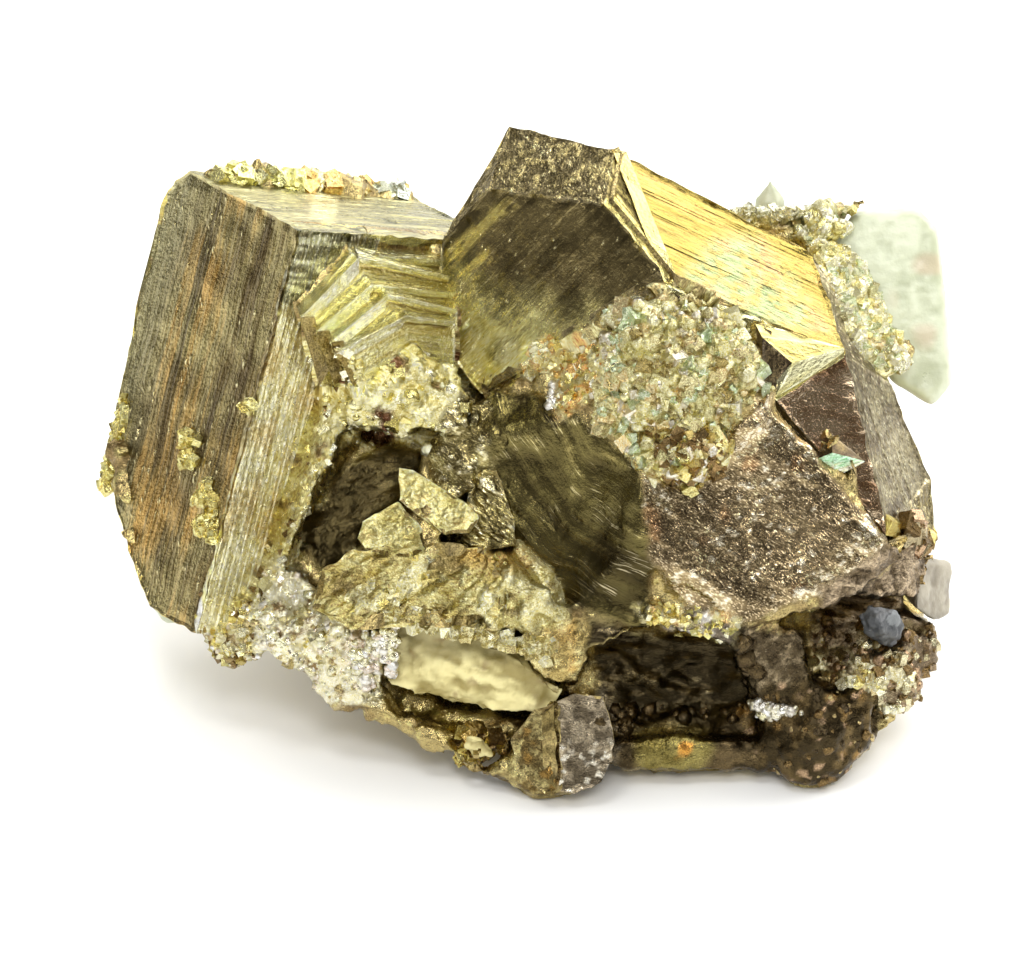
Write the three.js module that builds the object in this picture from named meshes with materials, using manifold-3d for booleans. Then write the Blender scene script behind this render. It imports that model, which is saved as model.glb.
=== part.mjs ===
// A hand-sized pyrite specimen: striated crystals intergrown with a broken, brassy core, and
// the quartz and sphalerite grown into it. Millimetres, +Z up, origin at the middle of the
// underside.
//
// Everything is laid out in a tilted working frame: u runs across the specimen, v runs up its
// show face and w points straight out of that face. The last group turns that frame upright.
import * as THREE from "three";
import { ConvexGeometry } from "three/addons/geometries/ConvexGeometry.js";
import { mergeVertices } from "three/addons/utils/BufferGeometryUtils.js";
import Module from "manifold-3d";

const wasm = await Module();
wasm.setup();

// ---- Driving dimensions ----
const FACE_TILT_DEG = 30; // the show face looks out this far above level
const REST_LEVEL = -23.3; // height of the sawn-flat underside below the working origin
const SOCKET_GAP = 0.3; // clearance between the pyrite and each mineral set in it

const BROAD_CORNER = [-20.5, 21.0, 12.0]; // the broad crystal's near top corner
const BROAD_DOWN = [-0.244, -0.944, -0.222]; // its long edges, striated
const BROAD_BACK = [-0.6, 0.328, -0.729];
const BROAD_SIZE = { long: 38.7, back: 19.3, across: 24 };
const GROOVE_DEPTH = 0.3; // striation relief on the crystal faces

const SIDE_FACE = [0.444, 0.56, 0.7]; // the side crystal's bright upper face looks this way
const SIDE_GRAIN = [0.913, -0.409, -0.24]; // and its ribs run this way
const SHOW = [0, 0, 1]; // straight out of the show face

const DRUSE_SIZES = [1.8, 2.9]; // smallest and largest cube of the druse
const CRUMB_SIZES = [1.4, 3.0]; // broken rubble

// ---- Small helpers ----
const vec = (p) => new THREE.Vector3(...p);
const radians = THREE.MathUtils.degToRad;

// A repeatable random number generator, 0 to 1.
function seeded(seed) {
  let state = seed;
  return () => {
    state = (state + 0x6d2b79f5) | 0;
    let t = Math.imul(state ^ (state >>> 15), 1 | state);
    t = (t + Math.imul(t ^ (t >>> 7), 61 | t)) ^ t;
    return ((t ^ (t >>> 14)) >>> 0) / 4294967296;
  };
}

// A closed three.js geometry as a solid for joining and cutting.
function solid(geometry) {
  const bare = new THREE.BufferGeometry();
  bare.setAttribute("position", geometry.getAttribute("position"));
  if (geometry.index) bare.setIndex(geometry.index);
  const merged = mergeVertices(bare, 1e-4);
  const mesh = new wasm.Mesh({
    numProp: 3,
    vertProperties: new Float32Array(merged.attributes.position.array),
    triVerts: new Uint32Array(merged.index.array),
  });
  return new wasm.Manifold(mesh);
}

// The reverse: a joined solid as a three.js geometry with flat faces.
function geometryOf(made) {
  const mesh = made.getMesh();
  const geometry = new THREE.BufferGeometry();
  geometry.setAttribute("position", new THREE.BufferAttribute(mesh.vertProperties, 3));
  geometry.setIndex(new THREE.BufferAttribute(mesh.triVerts, 1));
  return geometry;
}

const join = (parts) => wasm.Manifold.union(parts);

// The smallest flat-sided body around some points.
const hull = (points) => solid(new ConvexGeometry(points.map(vec)));

// The same body with every side moved out by at least the gap.
function swollenHull(points, gap) {
  const signs = [-gap, gap];
  const corners = signs.flatMap((x) => signs.flatMap((y) => signs.map((z) => [x, y, z])));
  return hull(points.flatMap((p) => corners.map((c) => p.map((value, i) => value + c[i]))));
}

// An outline drawn in towards its own middle and moved to depth w.
function inset(outline, share, w) {
  const total = outline.reduce((sum, p) => [sum[0] + p[0], sum[1] + p[1]], [0, 0]);
  const [mu, mv] = total.map((value) => value / outline.length);
  return outline.map(([u, v]) => [mu + (u - mu) * share, mv + (v - mv) * share, w]);
}

// A broken block: the given front corners, and the same outline narrowed at depth w.
const chunk = (front, w, share = 0.85) => hull([...front, ...inset(front, share, w)]);

// A box turned by three angles in degrees.
function turnedBox(centre, size, angles) {
  const shape = new THREE.BoxGeometry(...size);
  const turn = new THREE.Euler(...angles.map(radians));
  shape.applyMatrix4(new THREE.Matrix4().makeRotationFromEuler(turn));
  shape.translate(...centre);
  return solid(shape);
}

// A body like a pebble, or the hollow one leaves: three radii, leaned by three angles.
function pebble(centre, radii, angles = [0, 0, 0], detail = 2) {
  const shape = new THREE.IcosahedronGeometry(1, detail);
  shape.scale(...radii);
  const turn = new THREE.Euler(...angles.map(radians));
  shape.applyMatrix4(new THREE.Matrix4().makeRotationFromEuler(turn));
  shape.translate(...centre);
  return solid(shape);
}

// A shallow dish broken out of a face that looks towards out, half sizes and depth given.
function dish(centre, out, half, depth, spin = 0) {
  const sphere = 2.6 * depth; // the cutter's short radius
  const spread = 1 / Math.sqrt(1 - ((sphere - depth) / sphere) ** 2);
  const shape = new THREE.IcosahedronGeometry(1, 3);
  shape.scale(half[0] * spread, half[1] * spread, sphere);
  shape.rotateZ(radians(spin));
  const normal = vec(out).normalize();
  shape.applyQuaternion(new THREE.Quaternion().setFromUnitVectors(vec(SHOW), normal));
  const middle = vec(centre).addScaledVector(normal, sphere - depth);
  shape.translate(...middle.toArray());
  return solid(shape);
}

// Small cubes crowded round some places, each with a corner turned outwards.
function crust(places, out, sizes, seed, loose = 20) {
  const random = seeded(seed);
  const outward = vec(out).normalize();
  const cornerOut = new THREE.Quaternion().setFromUnitVectors(vec([1, 1, 1]).normalize(), outward);
  return places.map((place) => {
    const size = sizes[0] + (sizes[1] - sizes[0]) * random();
    const shape = new THREE.BoxGeometry(size, size * (0.8 + 0.5 * random()), size);
    shape.applyQuaternion(cornerOut);
    shape.applyQuaternion(new THREE.Quaternion().setFromAxisAngle(outward, 2 * Math.PI * random()));
    const lean = [random(), random(), random()].map((share) => radians(loose * (2 * share - 1)));
    shape.applyMatrix4(new THREE.Matrix4().makeRotationFromEuler(new THREE.Euler(...lean)));
    const shift = [random(), random()].map((share) => size * 0.5 * (share - 0.5));
    shape.translate(place[0] + shift[0], place[1] + shift[1], place[2]);
    return solid(shape);
  });
}

// count places spread evenly over an oval patch that bulges out at its middle.
function ovalPatch(centre, radii, bulge, count) {
  const goldenTurn = Math.PI * (3 - Math.sqrt(5));
  return Array.from({ length: count }, (_, i) => {
    const share = Math.sqrt((i + 0.5) / count);
    const angle = i * goldenTurn;
    const u = centre[0] + radii[0] * share * Math.cos(angle);
    const v = centre[1] + radii[1] * share * Math.sin(angle);
    return [u, v, centre[2] + bulge * (1 - share * share)];
  });
}

// count places along a straight line.
function row(from, to, count) {
  const start = vec(from);
  return Array.from({ length: count }, (_, i) =>
    start.clone().lerp(vec(to), i / (count - 1)).toArray(),
  );
}

// ---- The broad crystal: a long cube whose sides are grooved lengthways ----
function broadAxes() {
  const down = vec(BROAD_DOWN).normalize();
  const back = vec(BROAD_BACK);
  back.addScaledVector(down, -back.dot(down)).normalize();
  const across = new THREE.Vector3().crossVectors(down, back).normalize();
  return { down, back, across };
}

// A place on or in the broad crystal: down its long edge, to the back and across.
function broadPlace(s, t, c) {
  const { down, back, across } = broadAxes();
  const corner = vec(BROAD_CORNER);
  return corner.addScaledVector(down, s).addScaledVector(back, t).addScaledVector(across, c).toArray();
}

function broadCrystal() {
  const { down, back, across } = broadAxes();
  const { long, back: width, across: reach } = BROAD_SIZE;

  // The section across the long edges: x is back, y is across. Both show sides are grooved.
  const sideInsets = [0, 1, 0.35, 1.3, 0.6];
  const frontInsets = [0.2, 1.2, 0.5, 1.5];
  const sideGrooves = 12;
  const frontGrooves = 9;
  const grooved = reach * 0.4;
  const outline = [];
  for (let i = 0; i < sideGrooves; i += 1) {
    const depth = GROOVE_DEPTH * sideInsets[i % sideInsets.length];
    outline.push([(width * i) / sideGrooves, depth], [(width * (i + 0.85)) / sideGrooves, depth]);
  }
  outline.push([width, 0], [width, reach], [0, reach]);
  for (let i = frontGrooves; i > 0; i -= 1) {
    const depth = GROOVE_DEPTH * frontInsets[i % frontInsets.length];
    outline.push([depth, (grooved * i) / frontGrooves], [depth, (grooved * (i - 0.8)) / frontGrooves]);
  }
  const section = new THREE.Shape(outline.map(([x, y]) => new THREE.Vector2(x, y)));
  const prism = new THREE.ExtrudeGeometry(section, { depth: long, bevelEnabled: false });
  prism.applyMatrix4(new THREE.Matrix4().makeBasis(back, across, down));
  prism.translate(...broadPlace(0, 0, 0));

  // Seen from its side: x is back, y is down. The top corner is worn and the foot is broken away.
  const side = [
    [-1, -1], [16.5, 0], [18.2, 1.4], [19.3, 4.1], [19.2, 12], [18, 28], [14.9, 31.7],
    [11.4, 34.8], [6.9, 38.3], [0.9, 38.3], [-1, 37.6],
  ];
  const sideShape = new THREE.Shape(side.map(([x, y]) => new THREE.Vector2(x, -y)));
  const keep = new THREE.ExtrudeGeometry(sideShape, { depth: reach + 2, bevelEnabled: false });
  keep.applyMatrix4(new THREE.Matrix4().makeBasis(back, down.clone().negate(), across));
  keep.translate(...broadPlace(0, 0, -1));
  return solid(prism).intersect(solid(keep));
}

// Growth steps: flat layers, each lying further out and starting lower than the last.
function growthSteps() {
  // left end, peak and right end of each layer's upper edge, and how far out the layer lies
  const layers = [
    { edge: [[-20.4, 14.0], [-15.9, 18.6], [-6.5, 18.0]], out: 1.6 },
    { edge: [[-19.0, 12.6], [-14.1, 16.9], [-6.5, 15.9]], out: 3.2 },
    { edge: [[-17.9, 11.4], [-12.6, 15.2], [-6.5, 14.2]], out: 4.6 },
    { edge: [[-17.1, 9.8], [-11.4, 13.4], [-6.5, 12.6]], out: 6.0 },
  ];
  const bevel = [-0.5, 1.1]; // each upper edge slopes back to here
  // The layers lie parallel to the crystal's front face, whose depth falls away to the right.
  const depthAt = (u, v, out) => 12 + (out - 0.6 * (u + 20.5) + 0.328 * (v - 21)) / 0.729;
  return layers.map(({ edge, out }) => {
    const foot = [[edge[2][0], 3], [edge[0][0] + 2.4, 3]];
    const front = [...edge, ...foot].map(([u, v]) => [u, v, depthAt(u, v, out)]);
    const slope = edge.map(([u, v]) => [u + bevel[0], v + bevel[1], depthAt(u, v, out - 2)]);
    const back = foot.map(([u, v]) => [u, v, -7]);
    const deep = edge.map(([u, v]) => [u, v, -7]);
    return hull([...front, ...slope, ...back, ...deep]);
  });
}

// ---- The tall crystal and the one grown from its side ----
function tallCrystal() {
  return hull([
    [-1.6, 30.4, 1.5], [7.8, 28.2, 6.5], [6.8, 23.4, 9.8], [-3.7, 24.8, 4.1], [-7.9, 19.8, 2.0],
    [-7.9, 11.2, 2.2], [-4.3, 6.3, 4.2], [2.9, 10.3, 7.9], [6.5, 14.8, 9.7], [12.6, 16.4, 12.9],
    [2.0, 24.0, -11], [10, 20, -12], [-5, 10, -12], [-3, 20, -11],
  ]);
}

function sideCrystal() {
  return hull([
    [7.8, 28.2, 6.5], [25.6, 18.9, 2.6], [28.5, 9.8, 8.0], [12.6, 16.4, 12.9], [32.6, 7.2, 1.0],
    [36.2, -1.3, -2.0], [36.7, -7.6, -3.0], [32.1, -6.3, 8.0], [22.2, 5.8, 11.5],
    [14.6, 14.8, 12.6], [9, 21, -12], [25, 9, -16], [33, 0, -14],
  ]);
}

// Long low ribs over the side crystal's bright upper face, from its left edge to its right.
function upperRibs() {
  const along = vec(SIDE_GRAIN).normalize();
  const normal = vec(SIDE_FACE).normalize();
  const over = new THREE.Vector3().crossVectors(normal, along).normalize();
  const left = [[7.8, 28.2], [12.6, 16.4]];
  const right = [[25.6, 18.9], [28.5, 9.8]];
  const depthAt = (u, v) => 6.5 - (SIDE_FACE[0] * (u - 7.8) + SIDE_FACE[1] * (v - 28.2)) / SIDE_FACE[2];
  const onEdge = (edge, share) => {
    const u = THREE.MathUtils.lerp(edge[0][0], edge[1][0], share);
    const v = THREE.MathUtils.lerp(edge[0][1], edge[1][1], share);
    return vec([u, v, depthAt(u, v)]);
  };
  // share of the way down the face, width and height of each rib
  const ribs = [
    [0.06, 0.9, 0.35], [0.18, 1.3, 0.25], [0.3, 0.7, 0.4], [0.44, 1.6, 0.3], [0.6, 1.0, 0.4],
    [0.76, 1.4, 0.25], [0.9, 0.8, 0.35],
  ];
  return ribs.map(([share, width, height]) => {
    const start = onEdge(left, share).addScaledVector(along, 0.8);
    const end = onEdge(right, share).addScaledVector(along, -0.8);
    const rib = new THREE.BoxGeometry(start.distanceTo(end), width, 2);
    rib.applyMatrix4(new THREE.Matrix4().makeBasis(along, over, normal));
    const middle = start.lerp(end, 0.5).addScaledVector(normal, height - 1);
    rib.translate(...middle.toArray());
    return solid(rib);
  });
}

// Sharp little steps on the side crystal's mirror-smooth right face.
function mirrorSteps() {
  return [
    hull([
      [20.3, 12.4, 11.4], [28.1, 10.4, 8.4], [23.6, 9.1, 11.6], [22.0, 6.0, 12.3],
      [20.9, 6.1, 12.8], [20.9, 11.3, 12.0], [28.1, 9.7, 8.4], [23, 9, 5],
    ]),
    hull([
      [25.1, 0.2, 11.4], [27.2, 1.1, 10.0], [30.2, 0.3, 8.7], [27.5, -1.1, 11.2],
      [27.0, -3.5, 10.8], [31.0, -4.5, 8.8], [27, 0, 6],
    ]),
  ];
}

// ---- The broken core ----
function coreBody() {
  const body = hull([
    [-24, -14, 0], [-16.0, -21.0, 0.5], [-6, -25.8, 3.5], [14, -27.2, 3.6], [26, -28.4, 3.5],
    [30.8, -26.0, 2], [37.1, -18.0, -2], [37.4, -12.2, -5], [36.0, -7.2, -5], [34, 6, -5],
    [26, 17, -7], [8, 22, -4], [-8, 16, -3], [-22, 6, -3],
    [-22, 10, -14], [0, 16, -14], [20, 15, -15], [32, 2, -17], [-26, -6, -17], [-18, -14, -24],
    [30, -14, -24],
  ]);
  const fracture = hull([
    [-4.3, 5.8, 8], [-0.7, 6.3, 9.5], [6.5, 14.8, 8], [14.6, 14.8, 11.5], [21.8, 5.8, 13.0],
    [31.6, -7.0, 10.4], [33.9, -8.5, 8], [27.2, -13.0, 10], [19.4, -14.9, 11.6], [11.4, -12.8, 13.6],
    [6.0, -16.4, 11], [2.9, -15.8, 10], [-2.5, -8.5, 9], [-5.2, 2.2, 8], [10.2, -1.2, 16.2],
    [15.5, -3.1, 15.8], [6.5, 3.1, 13.6], [0, 8, -10], [28, 4, -12], [28, -9, -8], [0, -9, -8],
  ]);
  const ridge = chunk([
    [-17.1, 10.8, 5.9], [-15.8, 9.3, 6.2], [-17.4, -0.4, 5.0], [-21.6, -8.2, 4.2],
    [-25.9, -16.5, 1.5], [-24.8, -12.2, 2.0], [-18.5, 5.8, 4.6],
  ], -4);
  return join([body, fracture, ridge]);
}

// Where the core broke like glass, or fell away: wide scars that meet along curved edges.
function scars() {
  return [
    dish([2.4, -3.6, 11.6], [-0.5, -0.08, 0.86], [8.6, 13.5], 2.2, -20), // olive, on the left
    dish([21.0, -4.6, 14.2], [0.14, -0.14, 0.97], [14.5, 8.6], 1.9, -34), // bronze, on the right
    dish([12.6, -12.4, 13.2], [-0.1, -0.52, 0.85], [11.5, 4.2], 1.5, -10), // and below them
    dish([0.4, 6.4, 9.0], [-0.35, 0.45, 0.82], [5.6, 3.6], 0.9, 30),
    dish([33.6, 0.6, 3.8], [0.89, 0.2, 0.4], [3.4, 5.2], 0.7, 20),
    dish([13.0, -20.4, 3.4], [0, 0.1, 1], [9.4, 5.2], 2.4), // the dark hollow under the ledge
    pebble([-15.4, -3.0, 5.4], [3.6, 5.2, 5.6], [0, 0, -35]), // the smooth recess
    pebble([-17.4, -8.6, 5.2], [2.3, 2.7, 4.4]),
  ];
}

// Broken blocks lying in and round the recess.
function rubble() {
  const fronts = [
    // crumbling slope under the growth steps
    [[-16.7, 8.3, 5.5], [-12.5, 9.0, 7.5], [-8.4, 9.5, 6.5], [-5.5, 6.6, 8.0], [-5.2, 2.8, 8.6],
      [-9.6, 3.0, 9.0], [-13.4, 3.4, 8.2], [-16.9, 4.4, 6.4], [-17.6, 5.8, 5.5]],
    [[-9.9, 1.6, 6.4], [-5.6, 3.4, 8.0], [-4.6, -2.4, 9.0], [-6.2, -3.0, 7.6], [-9.8, -0.6, 6.0]],
    // two tilted blocks on the floor of the recess
    [[-10.2, -0.7, 7.2], [-6.9, -2.6, 8.4], [-4.3, -5.9, 10.0], [-6.7, -6.2, 10.2],
      [-9.5, -4.2, 9.4], [-11.5, -3.3, 7.6]],
    [[-11.5, -3.3, 7.0], [-9.5, -4.6, 9.0], [-8.3, -6.6, 10.2], [-6.7, -7.5, 10.4],
      [-8.9, -9.1, 10.0], [-12.8, -7.8, 8.6], [-15.4, -6.2, 6.4], [-12.8, -4.2, 6.4]],
    // the shelf below them, in two steps
    [[-16.7, -7.8, 6.6], [-12.8, -7.8, 7.6], [-7.9, -9.8, 10.4], [-10.5, -12.3, 11.0],
      [-15.7, -13.3, 10.0], [-19.3, -16.3, 7.6], [-19.9, -15.3, 6.4], [-17.6, -12.1, 7.0]],
    [[-5.9, -7.5, 9.0], [-1.8, -7.5, 10.4], [0.5, -9.8, 11.2], [1.8, -12.7, 12.0],
      [-0.8, -14.0, 12.0], [-3.1, -14.3, 11.6], [-6.7, -11.1, 10.6], [-7.3, -9.1, 9.6]],
    // blocks right of the quartz
    [[3.4, -13.1, 11.6], [5.7, -17.2, 11.0], [4.4, -20.0, 9.8], [1.2, -19.5, 10.4],
      [-0.8, -17.2, 10.6], [-0.2, -15.3, 11.4]],
    // the glittering low corner on the left
    [[-24.6, -10.8, 3.2], [-20.8, -9.0, 4.4], [-17.4, -12.2, 6.2], [-13.2, -15.8, 8.0],
      [-12.6, -19.6, 7.0], [-16.4, -20.8, 5.6], [-19.3, -18.4, 5.0], [-22.5, -17.6, 4.0]],
    [[-24.0, -12.0, 3.4], [-22.4, -16.6, 4.2], [-24.6, -17.5, 3.0], [-26.8, -18.6, 1.6],
      [-28.6, -17.2, 0.8], [-29.8, -14.4, 0.8], [-28.6, -12.2, 1.8]],
    // the smooth knob at the lowest point
    [[1.8, -20.4, 9.4], [5.0, -20.6, 10.0], [7.4, -22.6, 9.6], [7.9, -26.0, 9.0], [5.9, -28.9, 8.2],
      [2.9, -29.9, 7.4], [0.2, -30.1, 6.8], [-1.8, -28.8, 6.2], [-1.6, -24.4, 7.6]],
    // brown and dark lumps over the right foot
    [[27.5, -8.2, 9.0], [34.6, -7.4, 4.0], [36.4, -8.2, 1.4], [35.4, -11.8, 3.0], [31.0, -12.2, 7.4],
      [28.4, -11.6, 9.2]],
    [[18.5, -14.4, 10.4], [24.5, -14.4, 9.6], [25.4, -18.8, 8.6], [23.0, -22.4, 7.2],
      [20.4, -21.4, 6.8], [18.8, -18.4, 8.0]],
    [[20.6, -21.6, 5.6], [25.6, -19.4, 8.0], [30.6, -20.6, 6.4], [31.4, -24.6, 4.8],
      [28.4, -28.4, 5.0], [25.7, -29.2, 5.2], [23.3, -28.8, 5.2], [20.8, -26.0, 5.2],
      [26.0, -24.4, 9.0]],
    // the low rim of the dark hollow
    [[7.8, -24.6, 5.4], [12.6, -23.8, 5.0], [16.4, -24.8, 5.8], [21.0, -24.6, 5.0],
      [21.4, -27.4, 4.4], [13.0, -27.7, 4.6], [7.6, -27.3, 5.2]],
    [[34.0, -14.6, 4.6], [37.3, -15.6, -0.6], [37.2, -18.0, -0.8], [35.2, -19.8, 0.4],
      [32.4, -22.6, 2.0], [30.4, -20.4, 6.6], [31.6, -16.4, 7.4]],
  ];
  // crumbly band down the right of the side crystal, and the rim behind it
  const bands = [
    [[25.8, 18.3, 1.8], [28.5, 20.4, -2.6], [30.1, 19.3, -2.4], [32.4, 14.8, -2.0],
      [34.0, 9.6, -1.6], [32.4, 7.4, 2.0], [28.8, 10.2, 6.8]],
    [[18.6, 22.6, -5.0], [22.2, 23.6, -6.0], [24.5, 23.4, -6.0], [28.5, 24.0, -6.0],
      [30.1, 22.5, -6.0], [29.0, 18.3, -3.0], [24.5, 19.2, -2.0]],
  ];
  return [
    ...fronts.map((front) => chunk(front, -6)),
    ...bands.map((front) => chunk(front, -14, 0.8)),
    // the mound under the druse, and a lump hanging from its lower edge
    pebble([13.4, 7.4, 9.6], [8.0, 8.2, 6.0], [0, 0, 20], 1),
    chunk([[12.0, 2.8, 15.6], [14.8, 3.6, 16.6], [17.4, 2.4, 15.4], [17.2, 0.2, 15.6],
      [15.0, -1.4, 16.4], [12.2, -0.9, 16.8], [11.4, 0.8, 16.2], [14.4, 1.0, 18.0]], 10, 0.8),
  ];
}

// Small crystals and crumbs, fused to what they grow from.
function crusts() {
  const leftOut = [-0.6, 0.2, 0.7];
  const upOut = [0, 0.8, 0.6];
  const rightOut = [0.6, 0.2, 0.7];
  return [
    ...crust(ovalPatch([13.6, 7.2, 11.9], [7.4, 8.0], 3.4, 42), SHOW, DRUSE_SIZES, 11),
    ...crust(ovalPatch([-11.2, 6.4, 7.0], [5.8, 3.6], 1.2, 17), SHOW, CRUMB_SIZES, 12, 40),
    ...crust(row(broadPlace(0.5, 15.6, 2.5), broadPlace(0.5, 14, 23), 13), upOut, [2.0, 3.4], 13),
    ...crust(row(broadPlace(25, 17.4, 0.5), broadPlace(33, 12, 0.3), 7), leftOut, [1.4, 2.4], 14),
    ...crust(row(broadPlace(24, 9.6, 0.2), broadPlace(31, 6.2, 0.2), 4), leftOut, [1.3, 2.2], 15),
    ...crust(ovalPatch([-19.0, -15.2, 5.0], [6.2, 3.0], 1.2, 14), SHOW, [1.4, 2.6], 16, 35),
    ...crust(ovalPatch([-0.6, -12.2, 10.8], [4.4, 2.6], 0.6, 8), SHOW, [1.6, 2.8], 17, 45),
    ...crust(row([24.8, 20.6, -1.8], [32.6, 9.4, 0.4], 10), rightOut, [1.8, 3.2], 18, 35),
    ...crust(row([20.0, 21.8, -3.4], [29.4, 22.6, -4.4], 6), upOut, [1.7, 3.0], 19, 35),
    ...crust(ovalPatch([31.4, -19.0, 5.2], [3.8, 3.0], 0.6, 8), rightOut, [1.6, 2.8], 20, 40),
    ...crust(row([10.4, -13.4, 12.4], [19.0, -15.6, 11.2], 6), SHOW, [1.4, 2.3], 21, 35),
    ...crust(row([-17.6, -19.6, 3.4], [-3.0, -26.6, 5.0], 8), SHOW, [2.4, 3.6], 22, 40),
  ];
}

// Cubes crowded together over the far side, nearly parallel to one another.
function farCubes() {
  return [
    turnedBox([13, 6, -13], [19, 17, 18], [22, 28, 12]),
    turnedBox([-7, 5, -15], [13, 14, 12], [16, 24, 18]),
    turnedBox([26, -5, -16], [13, 14, 11], [26, 32, 6]),
    turnedBox([4, -8, -21], [12, 11, 12], [18, 34, 14]),
    turnedBox([-19, -7, -16], [10, 11, 11], [24, 20, 18]),
    turnedBox([16, -10, -22], [9, 9, 10], [28, 26, 10]),
    turnedBox([-7, -6, -22], [8, 8, 8], [20, 30, 20]),
    turnedBox([25, 6, -16], [8, 8, 9], [14, 30, 16]),
    ...crust(ovalPatch([6, 0, -21], [22, 10], 0, 12), [0, 0.3, -1], [3, 5.5], 23),
  ];
}

// ---- Quartz and sphalerite, each in a socket in the pyrite ----
const BLOCK_OUTLINE = [
  [29.5, 23.0], [35.4, 23.2], [37.0, 21.4], [37.8, 14.8], [38.3, 7.4], [36.6, 5.3], [33.0, 7.4],
  [28.0, 14.8], [27.6, 20.0],
];
const POINT_TOP = [20, 0, 0]; // the six-sided point leans like this, in degrees

function quartzPoint() {
  const lean = new THREE.Euler(...POINT_TOP.map(radians));
  const ring = (radius, height) => Array.from({ length: 6 }, (_, i) => {
    const angle = (Math.PI * i) / 3;
    return [radius * Math.cos(angle), height, radius * Math.sin(angle)];
  });
  const points = [[0, 0, 0], ...ring(1.4, -2.0), ...ring(1.7, -5.5)];
  return points.map((p) => vec(p).applyEuler(lean).add(vec([21.9, 25.9, -6.2])).toArray());
}

const guests = {
  quartz_block: [
    ...inset(BLOCK_OUTLINE, 0.94, -3.4), ...inset(BLOCK_OUTLINE, 1, -4.6),
    ...inset(BLOCK_OUTLINE, 0.96, -12.6), ...inset(BLOCK_OUTLINE, 0.86, -13.6),
  ],
  quartz_vein: [
    [-14.2, -14.8, 7.0], [-10.2, -12.9, 8.2], [-5.9, -13.4, 9.2], [-3.1, -15.6, 9.4],
    [-0.8, -17.6, 9.4], [3.6, -20.2, 8.6], [1.8, -22.4, 7.6], [-1.4, -22.8, 7.0],
    [-5.9, -21.8, 6.6], [-10.2, -21.0, 5.8], [-12.8, -19.6, 5.6], [-4.4, -18.6, 9.2],
    [-10, -16, -3], [2, -17, -3], [-2, -21, -3],
  ],
  quartz_chip: [
    [-34.4, -8.6, -4.4], [-31.2, -8.2, -1.8], [-30.0, -12.0, -1.2], [-30.6, -14.3, -1.6],
    [-32.8, -14.3, -3.2], [-34.4, -12.4, -5.2], [-32.5, -8.6, -8.5], [-29.5, -10.0, -8.5],
    [-30.5, -13.6, -8],
  ],
  quartz_crumb: [
    [-5.8, -24.0, 6.2], [-3.4, -24.2, 6.6], [-2.8, -26.2, 6.0], [-4.4, -26.9, 5.2],
    [-6.2, -25.6, 5.4], [-4.4, -24.8, 7.0], [-4.4, -25.2, 1.0], [-5.2, -24.6, 1.0],
    [-3.8, -25.6, 1.0],
  ],
  quartz_point: quartzPoint(),
  quartz_nub: [
    [35.4, -8.0, 0.4], [38.2, -8.8, -2.2], [38.0, -13.5, -2.4], [36.6, -14.2, -0.4],
    [34.9, -13.0, 2.2], [34.9, -9.4, 2.4], [36.4, -9.0, -7.5], [36.8, -13.4, -7.5],
    [33.4, -11.2, -7],
  ],
  sphalerite_grain: [
    [29.3, -13.5, 8.6], [30.6, -12.1, 8.6], [33.0, -12.5, 7.8], [34.1, -14.6, 6.6],
    [33.6, -16.3, 6.2], [31.8, -16.8, 7.4], [29.6, -15.4, 8.6], [31.6, -14.4, 10.6],
    [30.6, -13.6, 1], [33.2, -14, 1], [32, -15.8, 1],
  ],
};

// Everything below the sawn underside, as a block in the tilted working frame.
function underside() {
  const depth = 100;
  const block = new THREE.BoxGeometry(2 * depth, 2 * depth, depth);
  block.translate(0, 0, REST_LEVEL - depth / 2);
  block.rotateX(-radians(90 - FACE_TILT_DEG));
  return solid(block);
}

function pyriteCluster() {
  const crystals = [broadCrystal(), ...growthSteps(), tallCrystal(), sideCrystal()];
  const core = coreBody().subtract(join(scars()));
  const grown = [...upperRibs(), ...mirrorSteps(), ...rubble(), ...crusts(), ...farCubes()];
  const sockets = Object.values(guests).map((points) => swollenHull(points, SOCKET_GAP));
  const cut = join([core, ...crystals, ...grown]).subtract(join([...sockets, underside()]));
  // Slivers left loose by the cutting are dropped.
  return cut.decompose().sort((a, b) => b.volume() - a.volume())[0];
}

// ---- The specimen, turned upright ----
const specimen = new THREE.Group();
const brass = new THREE.MeshStandardMaterial({ color: 0xb9a25a, roughness: 0.35, metalness: 1 });
const milk = new THREE.MeshStandardMaterial({ color: 0xdfe0cc, roughness: 0.3, metalness: 0 });
const blueGrey = new THREE.MeshStandardMaterial({ color: 0x39424d, roughness: 0.25, metalness: 0 });

function addPiece(name, made, material) {
  const piece = new THREE.Mesh(geometryOf(made), material);
  piece.name = name;
  specimen.add(piece);
}

addPiece("pyrite_cluster", pyriteCluster(), brass);
for (const [name, points] of Object.entries(guests)) {
  addPiece(name, hull(points), name.startsWith("quartz") ? milk : blueGrey);
}

specimen.rotation.x = radians(90 - FACE_TILT_DEG);
specimen.updateMatrixWorld(true);
const extent = new THREE.Box3().setFromObject(specimen, true);
const middle = extent.getCenter(new THREE.Vector3());
specimen.position.set(-middle.x, -middle.y, -extent.min.z);

const part = new THREE.Group();
part.add(specimen);
export default part;
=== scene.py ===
"""Pyrite specimen: striated crystals on a broken, brassy core, with quartz and sphalerite in it.

Shapes are worked out in millimetres in a working frame: u runs across the show face, v up it
and w out of it. Each stored mesh is in metres in the row frame.
"""

import math
from typing import NamedTuple

import bmesh
import bpy
import numpy as np
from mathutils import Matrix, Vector
from mathutils.geometry import tessellate_polygon


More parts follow.
